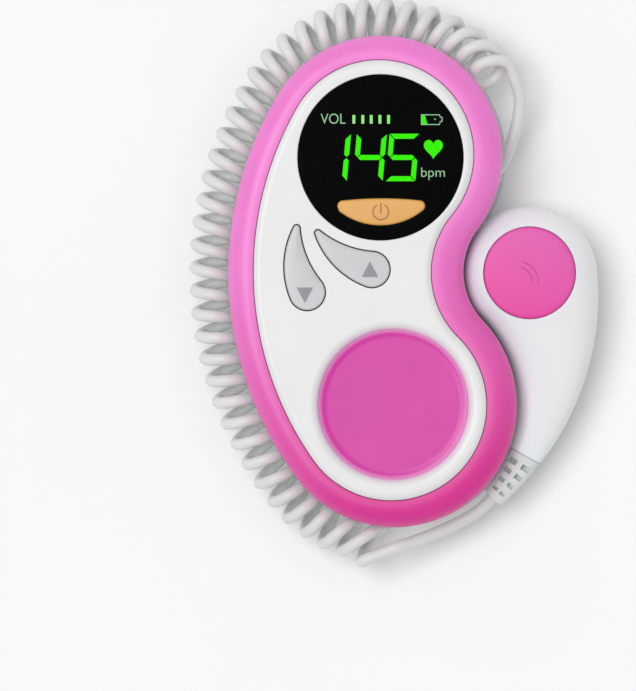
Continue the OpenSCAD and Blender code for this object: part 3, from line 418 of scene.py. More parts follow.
# Painted shade: the arcs are a deeper pink than the pad they lie on.
wave_painted_shade = moulded("tpe_soft_rose_painted_shade", "#cb4c96", "#c54791", (0.5, 0.6), 0.25, 0.008)
button_grey = moulded("abs_satin_grey", "#ccccce", "#c5c5c8", (0.30, 0.38), 0.25, 0.004)
mark_grey = moulded("ink_pad_printed_grey", "#96969d", "#8c8c93", *INK)
button_orange = moulded("silicone_amber", "#e5aa5a", "#dfa454", (0.38, 0.46), 0.25, 0.006)
mark_brown = moulded("ink_laser_marked_brown", "#b57a4c", "#ab7145", *INK)
jacket = moulded("pu_jacket_grey_white", "#e0e3e0", "#d9dcd9", (0.36, 0.46), 0.6, 0.010, tone_mm=30.0)
boot_grey = moulded("tpe_boot_grey_white", "#dce2e1", "#d6dcdb", (0.45, 0.55), 0.35, 0.010)
# Painted shadow: the dark ring at the probe's neck, where the bend relief meets the shells.
gap_shadow_grey = moulded("painted_gap_shadow_grey", "#77777a", "#6f6f72", (0.6, 0.7), 0.3, 0.004)
inner_black = moulded("abs_inner_black", "#24262a", "#1d1f22", (0.5, 0.6), 0.5, 0.010)
print(len(bpy.data.materials), "plastics")

# %% [markdown]
# ## Screen
# The window is hard-coated black acrylic with a polished face. Its specular is kept low
# because the photograph shows nothing mirrored in it. The figures are lit segments,
# so they give light instead of taking it.

# %% Screen finishes
window_black = moulded("acrylic_polished_black", "#050506", "#030304", (0.07, 0.12), 1.5, 0.001,
                       ior=1.49, gloss=0.04)
SPOT_MM, SPOT_DIM = 0.5, 0.94

def glowing(name, code, strength):
    """A lit segment, a little uneven because its diffuser is."""
    material, tree, surface, place = new_material(name)
    flicker = add(tree, "ShaderNodeMapRange", {"Value": speckle(tree, place, SPOT_MM), **NOISE_RANGE,
                                               "To Min": SPOT_DIM * strength, "To Max": strength})
    fill(tree, surface, {"Base Color": linear("#000000"), "Specular IOR Level": 0.0,
                         "Emission Color": linear(code), "Emission Strength": flicker.outputs[0]})
    return material

segment_green = glowing("led_segment_green", "#3ef713", 1.0)
icon_green = glowing("led_icon_pale_green", "#9af586", 0.95)
word_green = glowing("led_word_faint_green", "#9ccf9c", 0.95)
print("lit finishes:", [m.name for m in (segment_green, icon_green, word_green)])

# %% [markdown]
# ## Inner parts
# These are seen only where a cover slides off or through the speaker holes: plated
# steel, paper, fibreglass board, ceramic and rubber. Metals take metallic 1, with
# plating a little uneven.

# %% Inner finishes
PLATED = {"tone_mm": 3.0, "metallic": 1.0}
zinc = moulded("steel_zinc_plated", "#c3c6ca", "#aeb2b7", (0.28, 0.42), 0.8, 0.006, **PLATED)
nickel = moulded("steel_nickel_plated", "#cfcac0", "#bdb8ae", (0.2, 0.32), 0.8, 0.004, **PLATED)
magnet = moulded("ferrite_ground", "#5c6064", "#4d5154", (0.4, 0.55), 0.5, 0.010, tone_mm=4.0, metallic=0.6)
board = moulded("fibreglass_solder_mask", "#2e7a4a", "#276c40", (0.28, 0.4), 0.9, 0.010, tone_mm=5.0)
paper = moulded("paper_pressed_black", "#2c2d2f", "#222325", (0.8, 0.95), 0.4, 0.030, tone_mm=3.0)
foam = moulded("foam_closed_cell_black", "#222224", "#19191b", (0.85, 0.95), 0.5, 0.060, tone_mm=3.0)
cell = moulded("film_shrunk_blue", "#41729a", "#3a688e", (0.2, 0.3), 1.2, 0.004)
resin = moulded("epoxy_cast_grey", "#cbcbcf", "#c2c2c6", (0.22, 0.32), 0.8, 0.006, ior=1.55)
ceramic = moulded("ceramic_sintered_tan", "#d9caa2", "#cebf96", (0.5, 0.65), 0.3, 0.012, tone_mm=2.0, ior=1.7)
backing = moulded("rubber_filled_tan", "#b9a78c", "#ad9b80", (0.7, 0.85), 0.4, 0.030, tone_mm=2.0)
print(len(bpy.data.materials), "finishes in all")

# %% [markdown]
# ## Making pieces
# A piece is a list of points in millimetres and the faces between them. Most shells are
# stacks of rings: one outline at other heights and insets. Edges sharper than 35
# degrees stay crisp, and flat faces look flat because normals are weighted by area.

# %% Piece helpers
WELD = 1e-7

def raw(name, points, faces):
    """A mesh object from millimetre points, with all faces turned outward."""
    mesh = bpy.data.meshes.new(name)
    mesh.from_pydata([tuple(0.001 * float(c) for c in p) for p in points], [], faces)
    work = bmesh.new()
    work.from_mesh(mesh)
    bmesh.ops.remove_doubles(work, verts=work.verts, dist=WELD)
    bmesh.ops.recalc_face_normals(work, faces=work.faces)
    work.to_mesh(mesh)
    work.free()
    return bpy.data.objects.new(name, mesh)

def piece(name, points, faces, material, body, stands_for=None, slot=None):
    return dress(raw(name, points, faces), material, body, stands_for)

def dress(obj, material, body, stands_for=None, sharp=35):
    """Smooths a piece, gives it its finish, and makes it ride on its body."""
    if obj.name not in bpy.context.scene.collection.objects:
        show(obj)
    obj.data.materials.clear()
    obj.data.materials.append(material)
    if obj.type == "MESH":
        obj.data.shade_smooth()
        obj.data.set_sharp_from_angle(angle=radians(sharp))
        weighted = obj.modifiers.new("weighted", "WEIGHTED_NORMAL")
        weighted.keep_sharp = True
    if body:
        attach(obj, body)
    if stands_for:
        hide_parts(stands_for)
    print("made", obj.name, "on", body)
    return obj

def level(points, z):
    return [(x, y, z) for x, y in points]

def strip(rings, closed=False):
    """Points and faces of rings joined one to the next."""
    n = len(rings[0])
    pairs = [(k, k + 1) for k in range(len(rings) - 1)] + [(len(rings) - 1, 0)] * closed
    faces = [(a * n + i, a * n + (i + 1) % n, b * n + (i + 1) % n, b * n + i)
             for a, b in pairs for i in range(n)]
    return [p for ring in rings for p in ring], faces

def capped(rings, low, high):
    """A closed stack: each end is a fan from a point inside it."""
    points, faces = strip(rings)
    n, last = len(rings[0]), len(points) - len(rings[0])
    faces += [(len(points), (i + 1) % n, i) for i in range(n)]
    faces += [(len(points) + 1, last + i, last + (i + 1) % n) for i in range(n)]
    return points + [low, high], faces

def circle(centre, radius, count=144):
    return [tuple(centre + radius * ray(360 * k / count)) for k in range(count)]

def lathe(centre, profile, count=144):
    """A turned piece: its profile is radius and height, from the axis below to the axis above."""
    rings = [level(circle(centre, r, count), z) for r, z in profile if r > 0]
    return capped(rings, (*centre, profile[0][1]), (*centre, profile[-1][1]))

def cut(obj, cutter):
    """Cuts a shape out of a mesh and keeps the result as plain mesh."""
    show(obj)
    show(cutter)
    tool = obj.modifiers.new("cut", "BOOLEAN")
    tool.operation, tool.solver, tool.object = "DIFFERENCE", "EXACT", cutter
    graph = bpy.context.evaluated_depsgraph_get()
    result = bpy.data.meshes.new_from_object(obj.evaluated_get(graph))
    obj.modifiers.clear()
    obj.data = result
    bpy.data.objects.remove(cutter)
    return obj

def join(parts):
    points, faces = [], []
    for part_points, part_faces in parts:
        faces += [tuple(len(points) + i for i in face) for face in part_faces]
        points += part_points
    return points, faces

def skin(loops):
    """A face with holes: the first loop is its outline, seen from above."""
    flat = [[Vector((p[0], p[1], 0)) for p in loop] for loop in loops]
    return [p for loop in loops for p in loop], [tuple(t) for t in tessellate_polygon(flat)]

# %% [markdown]
# ## Cords
# The jacket is extruded polyurethane with an even round section. The long cord is a
# curve with a round bevel, so its points stay in hand. The short lead runs from the
# probe to the body, and is a mesh tube.

# %% Cords
def round_cord(name, path):
    """A curve along a path, as thick as the cord."""
    curve = bpy.data.curves.new(name, "CURVE")
    curve.dimensions = "3D"
    spline = curve.splines.new("POLY")
    spline.points.add(len(path) - 1)
    for point, p in zip(spline.points, path):
        point.co = (*[0.001 * float(c) for c in p], 1)
    curve.bevel_depth = 0.0005 * CORD_D
    curve.bevel_resolution = 4
    curve.use_fill_caps = True
    return bpy.data.objects.new(name, curve)

curly = dress(round_cord("curly_cord_wound", coil_and_tail[::-1]), jacket, "main_unit", "curly_cord")
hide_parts("cord_tail")

def tube(path, radius, count=20):
    """Rings of a round tube along a path that never runs straight up."""
    rings = []
    for k, p in enumerate(path):
        way = unit(np.subtract(path[min(k + 1, len(path) - 1)], path[max(k - 1, 0)]))
        side = unit(np.cross(way, (0, 0, 1)))
        over = np.cross(side, way)
        rings.append([tuple(p + radius * (cos(a) * side + sin(a) * over))
                      for a in np.radians(np.arange(count) * 360 / count)])
    return rings

straight = piece("cord_lead_straight", *capped(tube(lead, CORD_D / 2), tuple(lead[0]), tuple(lead[-1])),
                 jacket, None, "cord_lead", "cord_jacket")
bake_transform(straight)

# %% [markdown]
# ## Rose rim
# The rim is one satin moulding round the face: a straight outer wall, a wide rounded
# shoulder, and a flat inner lip where the panel sits. It is wider on the probe's side.
# Sweeping one profile round the outline gives the shoulder a true curve.

# %% Rim
RIM_LOW, RIM_TOP, RIM_ROUND, RIM_WALL, LEDGE_W, LEDGE_T = 22.5, 33.0, 6.0, 4.0, 1.5, 2.0
FRAME_TOP, WAIST, SEAT_Z, PANEL_TOP = 24.5, 2.5, 30.5, 34.0
SHOULDER, WAIST_FIT = 0.8, 0.1
FACE_UPPER, FACE_UPPER_R = UPPER + (-0.7, 0.4), UPPER_R - 7.3
FACE_LOWER, FACE_LOWER_R = LOWER + (-1, 0), LOWER_R - 7.5
FACE_BULGE_R, FACE_HOLLOW_R = 91.8, 25.2
face_edge, _ = outline(FACE_UPPER, FACE_LOWER, FACE_UPPER_R, FACE_LOWER_R, FACE_BULGE_R, FACE_HOLLOW_R,
                       BODY_COUNTS)

def ring(k, u, z):
    """A share k of the way from the body's outline to the face's, then u millimetres in, at height z."""
    return level(body_edge * (1 - k) + face_edge * k - u * body_out, z)

shoulder = [ring(SHOULDER * (1 - cos(a)), 0, RIM_TOP - RIM_ROUND + RIM_ROUND * sin(a))
            for a in np.radians(np.linspace(0, 90, 19))]
profile = [ring(0, 0.35, RIM_LOW), ring(0, 0.1, RIM_LOW + 0.1), ring(0, 0, RIM_LOW + 0.35), *shoulder,
           ring(1, -0.3, RIM_TOP), ring(1, -0.09, RIM_TOP - 0.09), ring(1, 0, RIM_TOP - 0.3),
           ring(1, 0, SEAT_Z), ring(1, LEDGE_W, SEAT_Z), ring(1, LEDGE_W, SEAT_Z - LEDGE_T),
           ring(0, RIM_WALL, SEAT_Z - LEDGE_T), ring(0, RIM_WALL, FRAME_TOP),
           ring(0, WAIST - WAIST_FIT, FRAME_TOP), ring(0, WAIST - WAIST_FIT, RIM_LOW)]
piece("rim_moulding", *strip(profile, closed=True), rim_pink, "main_unit", "front_rim", "rim_pink")

# %% [markdown]
# ## Outlines on the face
# The two volume buttons are bent drops with the same kind of outline as the body. The
# power button is a bowl: one arc below, a nearly flat arc above, and two small corner
# arcs. Its gap in the panel is the same shape stepped outward.

# %% Face outlines
DISPLAY, DISPLAY_R, DISH_LIP = np.array((2.2, 34.6)), 23.2, 2.4
SEAM, BUTTON_SEAM, CROWN_W, CROWN_H = 0.15, 0.3, 1.8, 0.8
WINDOW_TOP, WINDOW_Z, DISC_Z = 33.6, 31.8, 30.8
TIP_R, END_R, BULGE_R, HOLLOW_R, DROP_COUNTS = 0.85, 4.95, 24.0, 26.7, (12, 40, 36, 40)
BOWL_R, LID_R, BOWL_CORNER, BOWL_STEP = 19, 98, 1.6, 0.5
LID_TOP, BOWL_SHIFT = -11.4, 0.4
drops = {"volume_down": ((-21.2, 14.85), (-18.28, -3.1)), "volume_up": ((-15.26, 13.45), (-0.2, 3.3))}
drop_edges = {name: outline(tip, end, TIP_R, END_R, BULGE_R, HOLLOW_R, DROP_COUNTS)
              for name, (tip, end) in drops.items()}

def drop_core(tip, end):
    """A point inside the drop that sees its whole outline."""
    tip, end = np.array(tip), np.array(end)
    hollow = side_centre(tip, end, HOLLOW_R + TIP_R, HOLLOW_R + END_R)
    return hollow + (HOLLOW_R + 0.55 * (TIP_R + END_R)) * unit(unit(tip - hollow) + unit(end - hollow))

def bowl():
    """The power button's outline and outward directions."""
    lid = DISPLAY + (BOWL_SHIFT, LID_TOP - LID_R)
    right = side_centre(DISPLAY, lid, BOWL_R - BOWL_CORNER, LID_R - BOWL_CORNER)
    left = np.array((2 * DISPLAY[0] - right[0] + BOWL_SHIFT, right[1]))
    arcs = [(DISPLAY, BOWL_R, heading(left - DISPLAY), heading(right - DISPLAY)),
            (right, BOWL_CORNER, heading(right - DISPLAY), heading(right - lid)),
            (lid, LID_R, heading(right - lid), heading(left - lid)),
            (left, BOWL_CORNER, heading(left - lid), heading(left - DISPLAY))]
    lengths = [radians((stop - start) % 360) * radius for _, radius, start, stop in arcs]
    return swept([(*arc, 1, max(6, round(length / BOWL_STEP))) for arc, length in zip(arcs, lengths)])

bowl_edge, bowl_out = bowl()
print("drops:", [len(e[0]) for e in drop_edges.values()], "bowl:", len(bowl_edge), "points")

# %% [markdown]
# ## White panel
# The face panel drops into the rim and stands a little proud of it, with a crowned
# edge. It has four openings: the screen's, the dish with its flared lip, and the two
# buttons'. The top skin is one flat face with holes, and every edge gets its own
# small rounding, as a mould always leaves.

# %% Panel
PANEL_LOW, HOLE_LOW, LIP_W, FLARE_H, FLARE_LOW, DISC_FIT = 32.0, 31.0, 1.2, 2.4, 0.4, 0.005
HOLE_ROUND, BUTTON_ROUND, ROUND_COUNT = 0.3, 0.2, 180
crown_r = (CROWN_W**2 + CROWN_H**2) / (2 * CROWN_H)

def crown(u):
    """The height of the crowned edge, u millimetres in from the panel's outline."""
    return PANEL_TOP - crown_r + sqrt(crown_r**2 - (CROWN_W - u) ** 2)

def quarter(radius, steps=4):
    """Outward step and drop along a small rounding, from the flat to the wall."""
    return [(radius * (1 - sin(a)), radius * (1 - cos(a)))
            for a in np.radians(np.linspace(0, 90, steps + 1))]

def hole(points, outward, bottom, radius=HOLE_ROUND):
    """Rings from the top skin down the wall of an opening."""
    rings = [level(points + d * outward, PANEL_TOP - h) for d, h in quarter(radius)]
    return rings + [level(points, bottom)]

round_out = np.array([ray(360 * k / ROUND_COUNT) for k in range(ROUND_COUNT)])
outer = [ring(1, SEAM + LIP_W, PANEL_LOW), ring(1, SEAM + LIP_W, SEAT_Z), ring(1, SEAM, SEAT_Z)]
outer += [ring(1, SEAM + CROWN_W * k / 8, crown(CROWN_W * k / 8)) for k in range(9)]
flare = [level(circle(DISH, DISH_R + DISH_LIP * (1 - cos(a)), ROUND_COUNT),
               PANEL_TOP - FLARE_H * (1 - sin(a))) for a in np.radians(np.linspace(90, 0, 13))]
flare.append(level(circle(DISH, DISH_R, ROUND_COUNT), DISC_Z - FLARE_LOW))
holes = [hole(DISPLAY + DISPLAY_R * round_out, round_out, HOLE_LOW), flare]
holes += [hole(p + BUTTON_SEAM * n, n, HOLE_LOW, BUTTON_ROUND) for p, n in drop_edges.values()]
skins = [skin([outer[-1], *[h[0] for h in holes]]), skin([outer[0], *[h[-1] for h in holes]])]
piece("panel_skin", *join([strip(outer), *map(strip, holes), *skins]), face_white, "main_unit",
      "front_panel", "panel_white")

# %% [markdown]
# ## Screen window
# A polished black disc lies just below the panel, with the power button let into it.
# It is two skins with a wall round each edge, and the upper edges are rounded.

# %% Window
WINDOW_FIT, WINDOW_ROUND, SLOT_ROUND = 0.05, 0.15, 0.12

def window_wall(points, outward, radius, way):
    """Rings up an edge of the window, rounded inward where way is -1 and outward where it is 1."""
    return [level(points, WINDOW_Z)] + [level(points + way * d * outward, WINDOW_TOP - h)
                                        for d, h in quarter(radius)[::-1]]

rim_rings = window_wall(DISPLAY + (DISPLAY_R - WINDOW_FIT) * round_out, round_out, WINDOW_ROUND, -1)
slot_rings = window_wall(bowl_edge + BUTTON_SEAM * bowl_out, bowl_out, SLOT_ROUND, 1)
skins = [skin([rim_rings[0], slot_rings[0]]), skin([rim_rings[-1], slot_rings[-1]])]
piece("window_polished", *join([strip(rim_rings), strip(slot_rings), *skins]), window_black,
      "main_unit", "display_window", "window_black")

# %% [markdown]
# ## Rose disc in the dish
# A separate coloured disc lies in the dish. Its rim stands slightly proud, which draws
# the lighter ring round it, and its colour is also painted paler there as a painted
# highlight. It is a turned shape.

# %% Dish disc
# Steps in from the wall and heights above the disc's underside, over the raised edge.
DISC_EDGE = ((DISC_FIT, 0), (DISC_FIT, 0.8), (0.4, 0.84), (0.8, 0.78), (1.3, 0.62), (1.9, 0.52), (2.6, 0.5))
DISC_T = DISC_EDGE[-1][1]
disc_profile = [(0, DISC_Z), *[(DISH_R - step, DISC_Z + rise) for step, rise in DISC_EDGE]]
disc_profile += [(r, DISC_Z + DISC_T) for r in (12, 0.5, 0)]
piece("dish_disc", *lathe(DISH, disc_profile, ROUND_COUNT), dish_pink, "main_unit", "dish_inlay",
      "dish_pink")

# %% [markdown]
# ## Buttons
# Each button is a moulded cap: a straight wall in the gap, a rounded shoulder, and a
# slightly domed top. Its mark is pad-printed ink, a film of a few hundredths of a
# millimetre.

# %% Buttons
VOLUME_LOW, VOLUME_TOP, VOLUME_ROUND = 31.0, 34.3, 0.55
POWER_LOW, POWER_TOP, POWER_ROUND, POWER_CORE = 31.7, 33.85, 0.7, DISPLAY + (0.2, -14.9)
DOME, DOME_TOP = ((0.0, 0.0), (0.25, 0.05), (0.5, 0.09), (0.75, 0.11)), 0.12

def cap(points, outward, low, top, radius, core):
    """A button's cap; the core is a point inside that sees its whole outline."""
    rings = [level(points, low)]
    rings += [level(points - (radius - radius * cos(a)) * outward, top - radius + radius * sin(a))
              for a in np.radians(np.linspace(0, 80, 6))]
    inner = points - radius * outward
    for k, rise in DOME:
        rings.append(level(inner * (1 - k) + core * k, top + rise))
    return capped(rings, (*core, low), (*core, top + DOME_TOP))

for name, (p, n) in drop_edges.items():
    piece(name + "_cap", *cap(p, n, VOLUME_LOW, VOLUME_TOP, VOLUME_ROUND, drop_core(*drops[name])),
          button_grey, name, name + "_button", "button_grey")
piece("power_cap", *cap(bowl_edge, bowl_out, POWER_LOW, POWER_TOP, POWER_ROUND, POWER_CORE),
      button_orange, "power_button", "power_button", "button_orange")

# %% [markdown]
# ## Marks and figures
# Flat marks are thin films with real thickness, lying on what carries them. Each is
# drawn as plain loops. Lettering is kept to the general words of such a screen.

# %% Film helper
FILM_T = 0.05
GLASS = WINDOW_TOP + 0.01
FACE_PIXEL = (372.5, 281.5)

def film(name, shapes, z, material, body, slot):
    """A thin film of several shapes; a shape is an outline and the holes in it."""
    parts = []
    for shape in shapes:
        low, high = [level(loop, z) for loop in shape], [level(loop, z + FILM_T) for loop in shape]
        parts += [*[strip([a, b]) for a, b in zip(low, high)], skin(low), skin(high)]
    return piece(name, *join(parts), material, body, None, slot)

def at(px, py):
    """Millimetres on the face for a point of the picture."""
    return np.array(((px - FACE_PIXEL[0]) * PIXEL, (FACE_PIXEL[1] - py) * PIXEL))

def screen_film(name, shapes, material):
    film(name, shapes, GLASS, material, "main_unit", "segment_green")

# %% [markdown]
# ## Icons and words on the screen
# Behind the real window these are masks with a lamp under each. Here they are glowing
# films on it. The figures themselves are CAD solids. Places are pixels of the picture.

# %% Screen icons
BAR_LEFTS, BAR_W, BAR_TOP, BAR_FOOT = (352.3, 361.2, 369.6, 378.3, 386.9), 2.9, 115.7, 124.3
CELL_LEFT, CELL_RIGHT, CELL_TOP, CELL_FOOT = 420.7, 439.4, 115, 125.6
NUB_LEFT, NUB_RIGHT, NUB_TOP, NUB_FOOT = 440.3, 442.2, 117.5, 122.5
CELL_LINE, CELL_SLANT, CELL_DOT, DOT_R = 0.9, 0.6, (434.7, 119.8), 0.22
CHARGE_FOOT, CHARGE_TOP = 427, 424.7
HEART_AT, HEART_W, HEART_H, HEART_RISE = (433.0, 150.2), 0.166, 0.188, 0.47

def oblong(left, top, right, foot):
    return [at(left, foot), at(right, foot), at(right, top), at(left, top)]

def battery(line, slant):
    """The battery's outline, stepped inward by a line; slant is the step at its sloping corners."""
    half = [(CELL_LEFT + line, CELL_FOOT - line), (CELL_RIGHT - slant, CELL_FOOT - line),
            (NUB_LEFT - slant, NUB_FOOT - line), (NUB_RIGHT - line, NUB_FOOT - line)]
    tops = (NUB_TOP, NUB_TOP, CELL_TOP, CELL_TOP)
    return [at(*q) for q in half] + [at(x, y + line) for (x, _), y in zip(half[::-1], tops)]

def heart_point(a):
    rise = 13 * cos(a) - 5 * cos(2 * a) - 2 * cos(3 * a) - cos(4 * a)
    return at(*HEART_AT) + (HEART_W * 16 * sin(a) ** 3, HEART_RISE + HEART_H * rise)

screen_film("icon_volume_bars", [[oblong(x, BAR_TOP, x + BAR_W, BAR_FOOT)] for x in BAR_LEFTS], icon_green)
screen_film("icon_battery", [[battery(0, 0), battery(CELL_LINE, CELL_SLANT)[::-1]],
                             [circle(at(*CELL_DOT), DOT_R, 16)]], word_green)
inner_cell = battery(CELL_LINE, CELL_SLANT)
charge = [inner_cell[0], at(CHARGE_FOOT, CELL_FOOT - CELL_LINE), at(CHARGE_TOP, CELL_TOP + CELL_LINE),
          inner_cell[-1]]
screen_film("icon_charge", [[charge]], segment_green)
heart = [heart_point(a) for a in np.linspace(0, 2 * pi, 60, endpoint=False)]
screen_film("icon_heart", [[heart]], segment_green)

# %% Words on the screen
# For each word: its text, its left and right ends, its base line and its height.
WORDS = {"word_vol": ("VOL", 320.5, 345.3, 124.4, 10.35), "word_bpm": ("bpm", 419.9, 443.6, 177.3, 9.6)}
CAPITAL_SHARE, WORD_T, WORD_THIN = 0.7, 0.00002, -0.00002

def word(name, text, px0, px1, py_base, height_px):
    """Raised lettering, scaled to the width it has in the picture."""
    curve = bpy.data.curves.new(name, "FONT")
    curve.body, curve.size = text, 0.001 * PIXEL * height_px / CAPITAL_SHARE
    curve.extrude, curve.offset = WORD_T, WORD_THIN
    obj = bpy.data.objects.new(name, curve)
    show(obj)
    bpy.context.view_layer.update()
    width = obj.dimensions[0]
    left, right = at(px0, py_base), at(px1, py_base)
    obj.location = mm(*left, GLASS + 0.03)
    obj.scale = (0.001 * (right[0] - left[0]) / width, 1, 1)
    return dress(obj, word_green, "main_unit", None)

for name, row in WORDS.items():
    word(name, *row)

# %% [markdown]
# ## Marks on the buttons
# The arrows are pad-printed and the power sign is marked by a laser. They ride on
# their buttons. The power sign is a ring with a gap at its top and a stem in the gap.

# %% Marks on the buttons
DOWN_AT, UP_AT, POWER_AT = (304.9, 295.4), (369.8, 269.5), (380.6, 212.3)
ARROW_H, ARROW_W, ARROW_ROUND = 2.15, 2.3, 0.35
SIGN_OUT, SIGN_IN, SIGN_GAP = 2.38, 1.96, 30
STEM_W, STEM_LOW, STEM_HIGH = 0.21, -0.48, 2.46
VOLUME_INK, POWER_INK = VOLUME_TOP + 0.1, POWER_TOP + 0.09

def triangle(place, s):
    """An arrow with rounded corners; s is 1 for up and -1 for down."""
    c = at(*place)
    corners = [c + (-ARROW_W, -s * ARROW_H), c + (ARROW_W, -s * ARROW_H), c + (0, s * ARROW_H)]
    loop = []
    for k in range(3):
        a, b, d = corners[k - 1], corners[k], corners[(k + 1) % 3]
        p, q = b + ARROW_ROUND * unit(a - b), b + ARROW_ROUND * unit(d - b)
        loop += [tuple((1 - u) ** 2 * p + 2 * u * (1 - u) * b + u * u * q) for u in np.linspace(0, 1, 5)]
    return loop

def sign_arc(radius, steps=40):
    """The points of the power sign's arc, from one side of its gap to the other."""
    return [at(*POWER_AT) + radius * ray(90 + SIGN_GAP + (360 - 2 * SIGN_GAP) * k / steps)
            for k in range(steps + 1)]

film("mark_down", [[triangle(DOWN_AT, -1)]], VOLUME_INK, mark_grey, "volume_down", "button_grey")
film("mark_up", [[triangle(UP_AT, 1)]], VOLUME_INK, mark_grey, "volume_up", "button_grey")
stem = [at(*POWER_AT) + p for p in ((-STEM_W, STEM_LOW), (STEM_W, STEM_LOW), (STEM_W, STEM_HIGH),
                                    (-STEM_W, STEM_HIGH))]
film("mark_power", [[sign_arc(SIGN_OUT) + sign_arc(SIGN_IN)[::-1]], [stem]], POWER_INK, mark_brown,
     "power_button", "button_orange")

# %% [markdown]
# ## Probe
# Two moulded half shells meet at mid-height. In plan the head is a circle that runs
# into a long neck, and every section is a soft box. The halves are surfaces of
# sections along the centre line, with a small step at the parting line, and the
# seats for pad and lens are cut out of them.

# %% Probe sections
# SOFT_BOX rounds a section: 1 would be an ellipse. The parting step is its inset and its height.
PROBE_WAIST, SOFT_BOX, PARTING_IN, PARTING_H, NOSE_FALL, NOSE_ROUND = 1.1, 0.64, 0.22, 0.03, 2.5, 0.4
taper = asin(HEAD_R / hypot(probe_l, NECK_W)) - atan(NECK_W / probe_l)
join_s = HEAD_R * sin(taper)

def half_w(s):
    """Half the probe's width, s millimetres past the head's centre."""
    if s < join_s:
        return sqrt(max(0.0, HEAD_R**2 - s * s))
    waist = PROBE_WAIST * sin(pi * (probe_l - s) / (probe_l - join_s))
    return NECK_W + (probe_l - s) * tan(taper) - waist

def half_h(s):
    if s < 0:
        return HEAD_H * max(0.0, 1 - (-s / HEAD_R) ** NOSE_FALL) ** NOSE_ROUND
    return NECK_H + (HEAD_H - NECK_H) * (half_w(s) - NECK_W) / (HEAD_R - NECK_W)

def section(s, way, count=40):
    """Half a section, edge to edge; way is 1 above and -1 below."""
    w, h = half_w(s), half_h(s)
    side = ray(arc_a(s))
    first = asin(min(0.9, (0.3 / h)) ** 1.6)
    rows = [(copysign(abs(cos(a)) ** SOFT_BOX, cos(a)), h * abs(sin(a)) ** SOFT_BOX)
            for a in np.linspace(first, pi - first, count)]
    edge = 1 - PARTING_IN / max(w, 1)
    rows = [(edge, PARTING_H), *rows, (-edge, PARTING_H)]
    return [(*(spine(s) + side * w * x), SPLIT_Z + way * z) for x, z in rows]

def half_probe(name, way):
    """One half shell as a closed mesh of sections."""
    stations = [-HEAD_R * cos(a) for a in np.radians(np.linspace(4, 90, 30))]
    stations += list(np.linspace(0, probe_l, 70))[1:]
    rows = [section(s, way) for s in stations]
    n = len(rows[0])
    points = [p for row in rows for p in row] + [(*spine(-HEAD_R), SPLIT_Z)]
    faces = [(a * n + j, a * n + j + 1, (a + 1) * n + j + 1, (a + 1) * n + j)
             for a in range(len(rows) - 1) for j in range(n - 1)]
    faces += [(a * n, (a + 1) * n, (a + 1) * n + n - 1, a * n + n - 1) for a in range(len(rows) - 1)]
    faces += [(len(points) - 1, j, j + 1) for j in range(n - 1)] + [(len(points) - 1, n - 1, 0)]
    faces += [tuple((len(rows) - 1) * n + j for j in range(n))]
    return raw(name, points, faces)

# %% Probe shells
PAD_FLOOR, LENS_Z, LENS_SEAT = SPLIT_Z + 8.6, SPLIT_Z - HEAD_H, 5
PAD_FIT, LENS_FIT, SKY, UNDER, PROBE_SHARP = 0.12, 0.1, 40, -5, 30

def seat(name, radius, low, high):
    """A round cutter on the head's axis."""
    return raw(name, *lathe(head, [(0, low), (radius, low), (radius, high), (0, high)]))

pad_seat = ("pad_seat", PAD_R + PAD_FIT, PAD_FLOOR, SKY)
lens_seat = ("lens_seat", LENS_R + LENS_FIT, UNDER, LENS_Z + LENS_SEAT)
front_shell = cut(half_probe("probe_face_half", 1), seat(*pad_seat))
rear_shell = cut(half_probe("probe_back_half", -1), seat(*lens_seat))
dress(front_shell, probe_white, "probe", "probe_front_shell", PROBE_SHARP)
dress(rear_shell, probe_white, "probe", "probe_rear_shell", PROBE_SHARP)

# %% [markdown]
# ## Painted shadow at the neck
# A thin dark ring at the joint between the shells and the bend relief is painted shadow
# of the gap there. It follows the last section, and stands a few hundredths of a
# millimetre proud.

# %% Neck seam
# The corners of the painted gap shadow's section: steps past the end of the shells, and outward from them.
GAP_SHADOW_CORNERS = ((-0.12, -0.3), (-0.12, 0.04), (0.02, 0.04), (0.02, -0.3))
gap_shadow_rings = []
for along, grow in GAP_SHADOW_CORNERS:
    s = probe_l + along
    loop = section(s, 1) + section(s, -1)[::-1]
    mid = np.array([*spine(s), SPLIT_Z])
    gap_shadow_rings.append([tuple(p + grow * unit(p - mid)) for p in np.array(loop)])
# Painted shadow in the gap at the neck.
piece("neck_gap_shadow", *strip(gap_shadow_rings, closed=True), gap_shadow_grey, "probe", None, "boot_rubber")

# %% [markdown]
# ## Soft pad on the probe
# A disc of soft rose rubber fills the seat on the probe's face. It is slightly domed and
# its edge is rounded. Two short arcs are raised near its middle, like sound waves. Their
# deeper pink is painted shade.

# %% Pad
PAD_H, PAD_DOME, PAD_COUNT = SPLIT_Z + HEAD_H - PAD_FLOOR - 1.2, 0.55, 160
# Steps in from the pad's wall and depths below its top, over the rounded edge.
PAD_EDGE = ((0, PAD_H), (0, 1.1), (0.07, 0.85), (0.25, 0.68), (0.55, 0.58))
pad_profile = [(0, 0), *[(PAD_R - step, PAD_H - depth) for step, depth in PAD_EDGE]]
pad_profile += [(r, PAD_H - PAD_DOME * (r / PAD_R) ** 2) for r in np.linspace(PAD_R - 0.9, 0.4, 12)]
pad_profile += [(0, PAD_H)]
piece("pad_soft", *lathe(head, [(r, PAD_FLOOR + z) for r, z in pad_profile], PAD_COUNT), pad_pink,
      "probe", "probe_pad", "pad_pink")

# %% Raised arcs on the pad
WAVES_AT, WAVE_RADII, WAVE_HALF, WAVE_FACING = (515.5, 283.5), (4.8, 6.44), 39, 37.5
WAVE_W, WAVE_H = 0.24, 0.06

def pad_top(p):
    return PAD_FLOOR + PAD_H - PAD_DOME * (np.linalg.norm(p - head) / PAD_R) ** 2

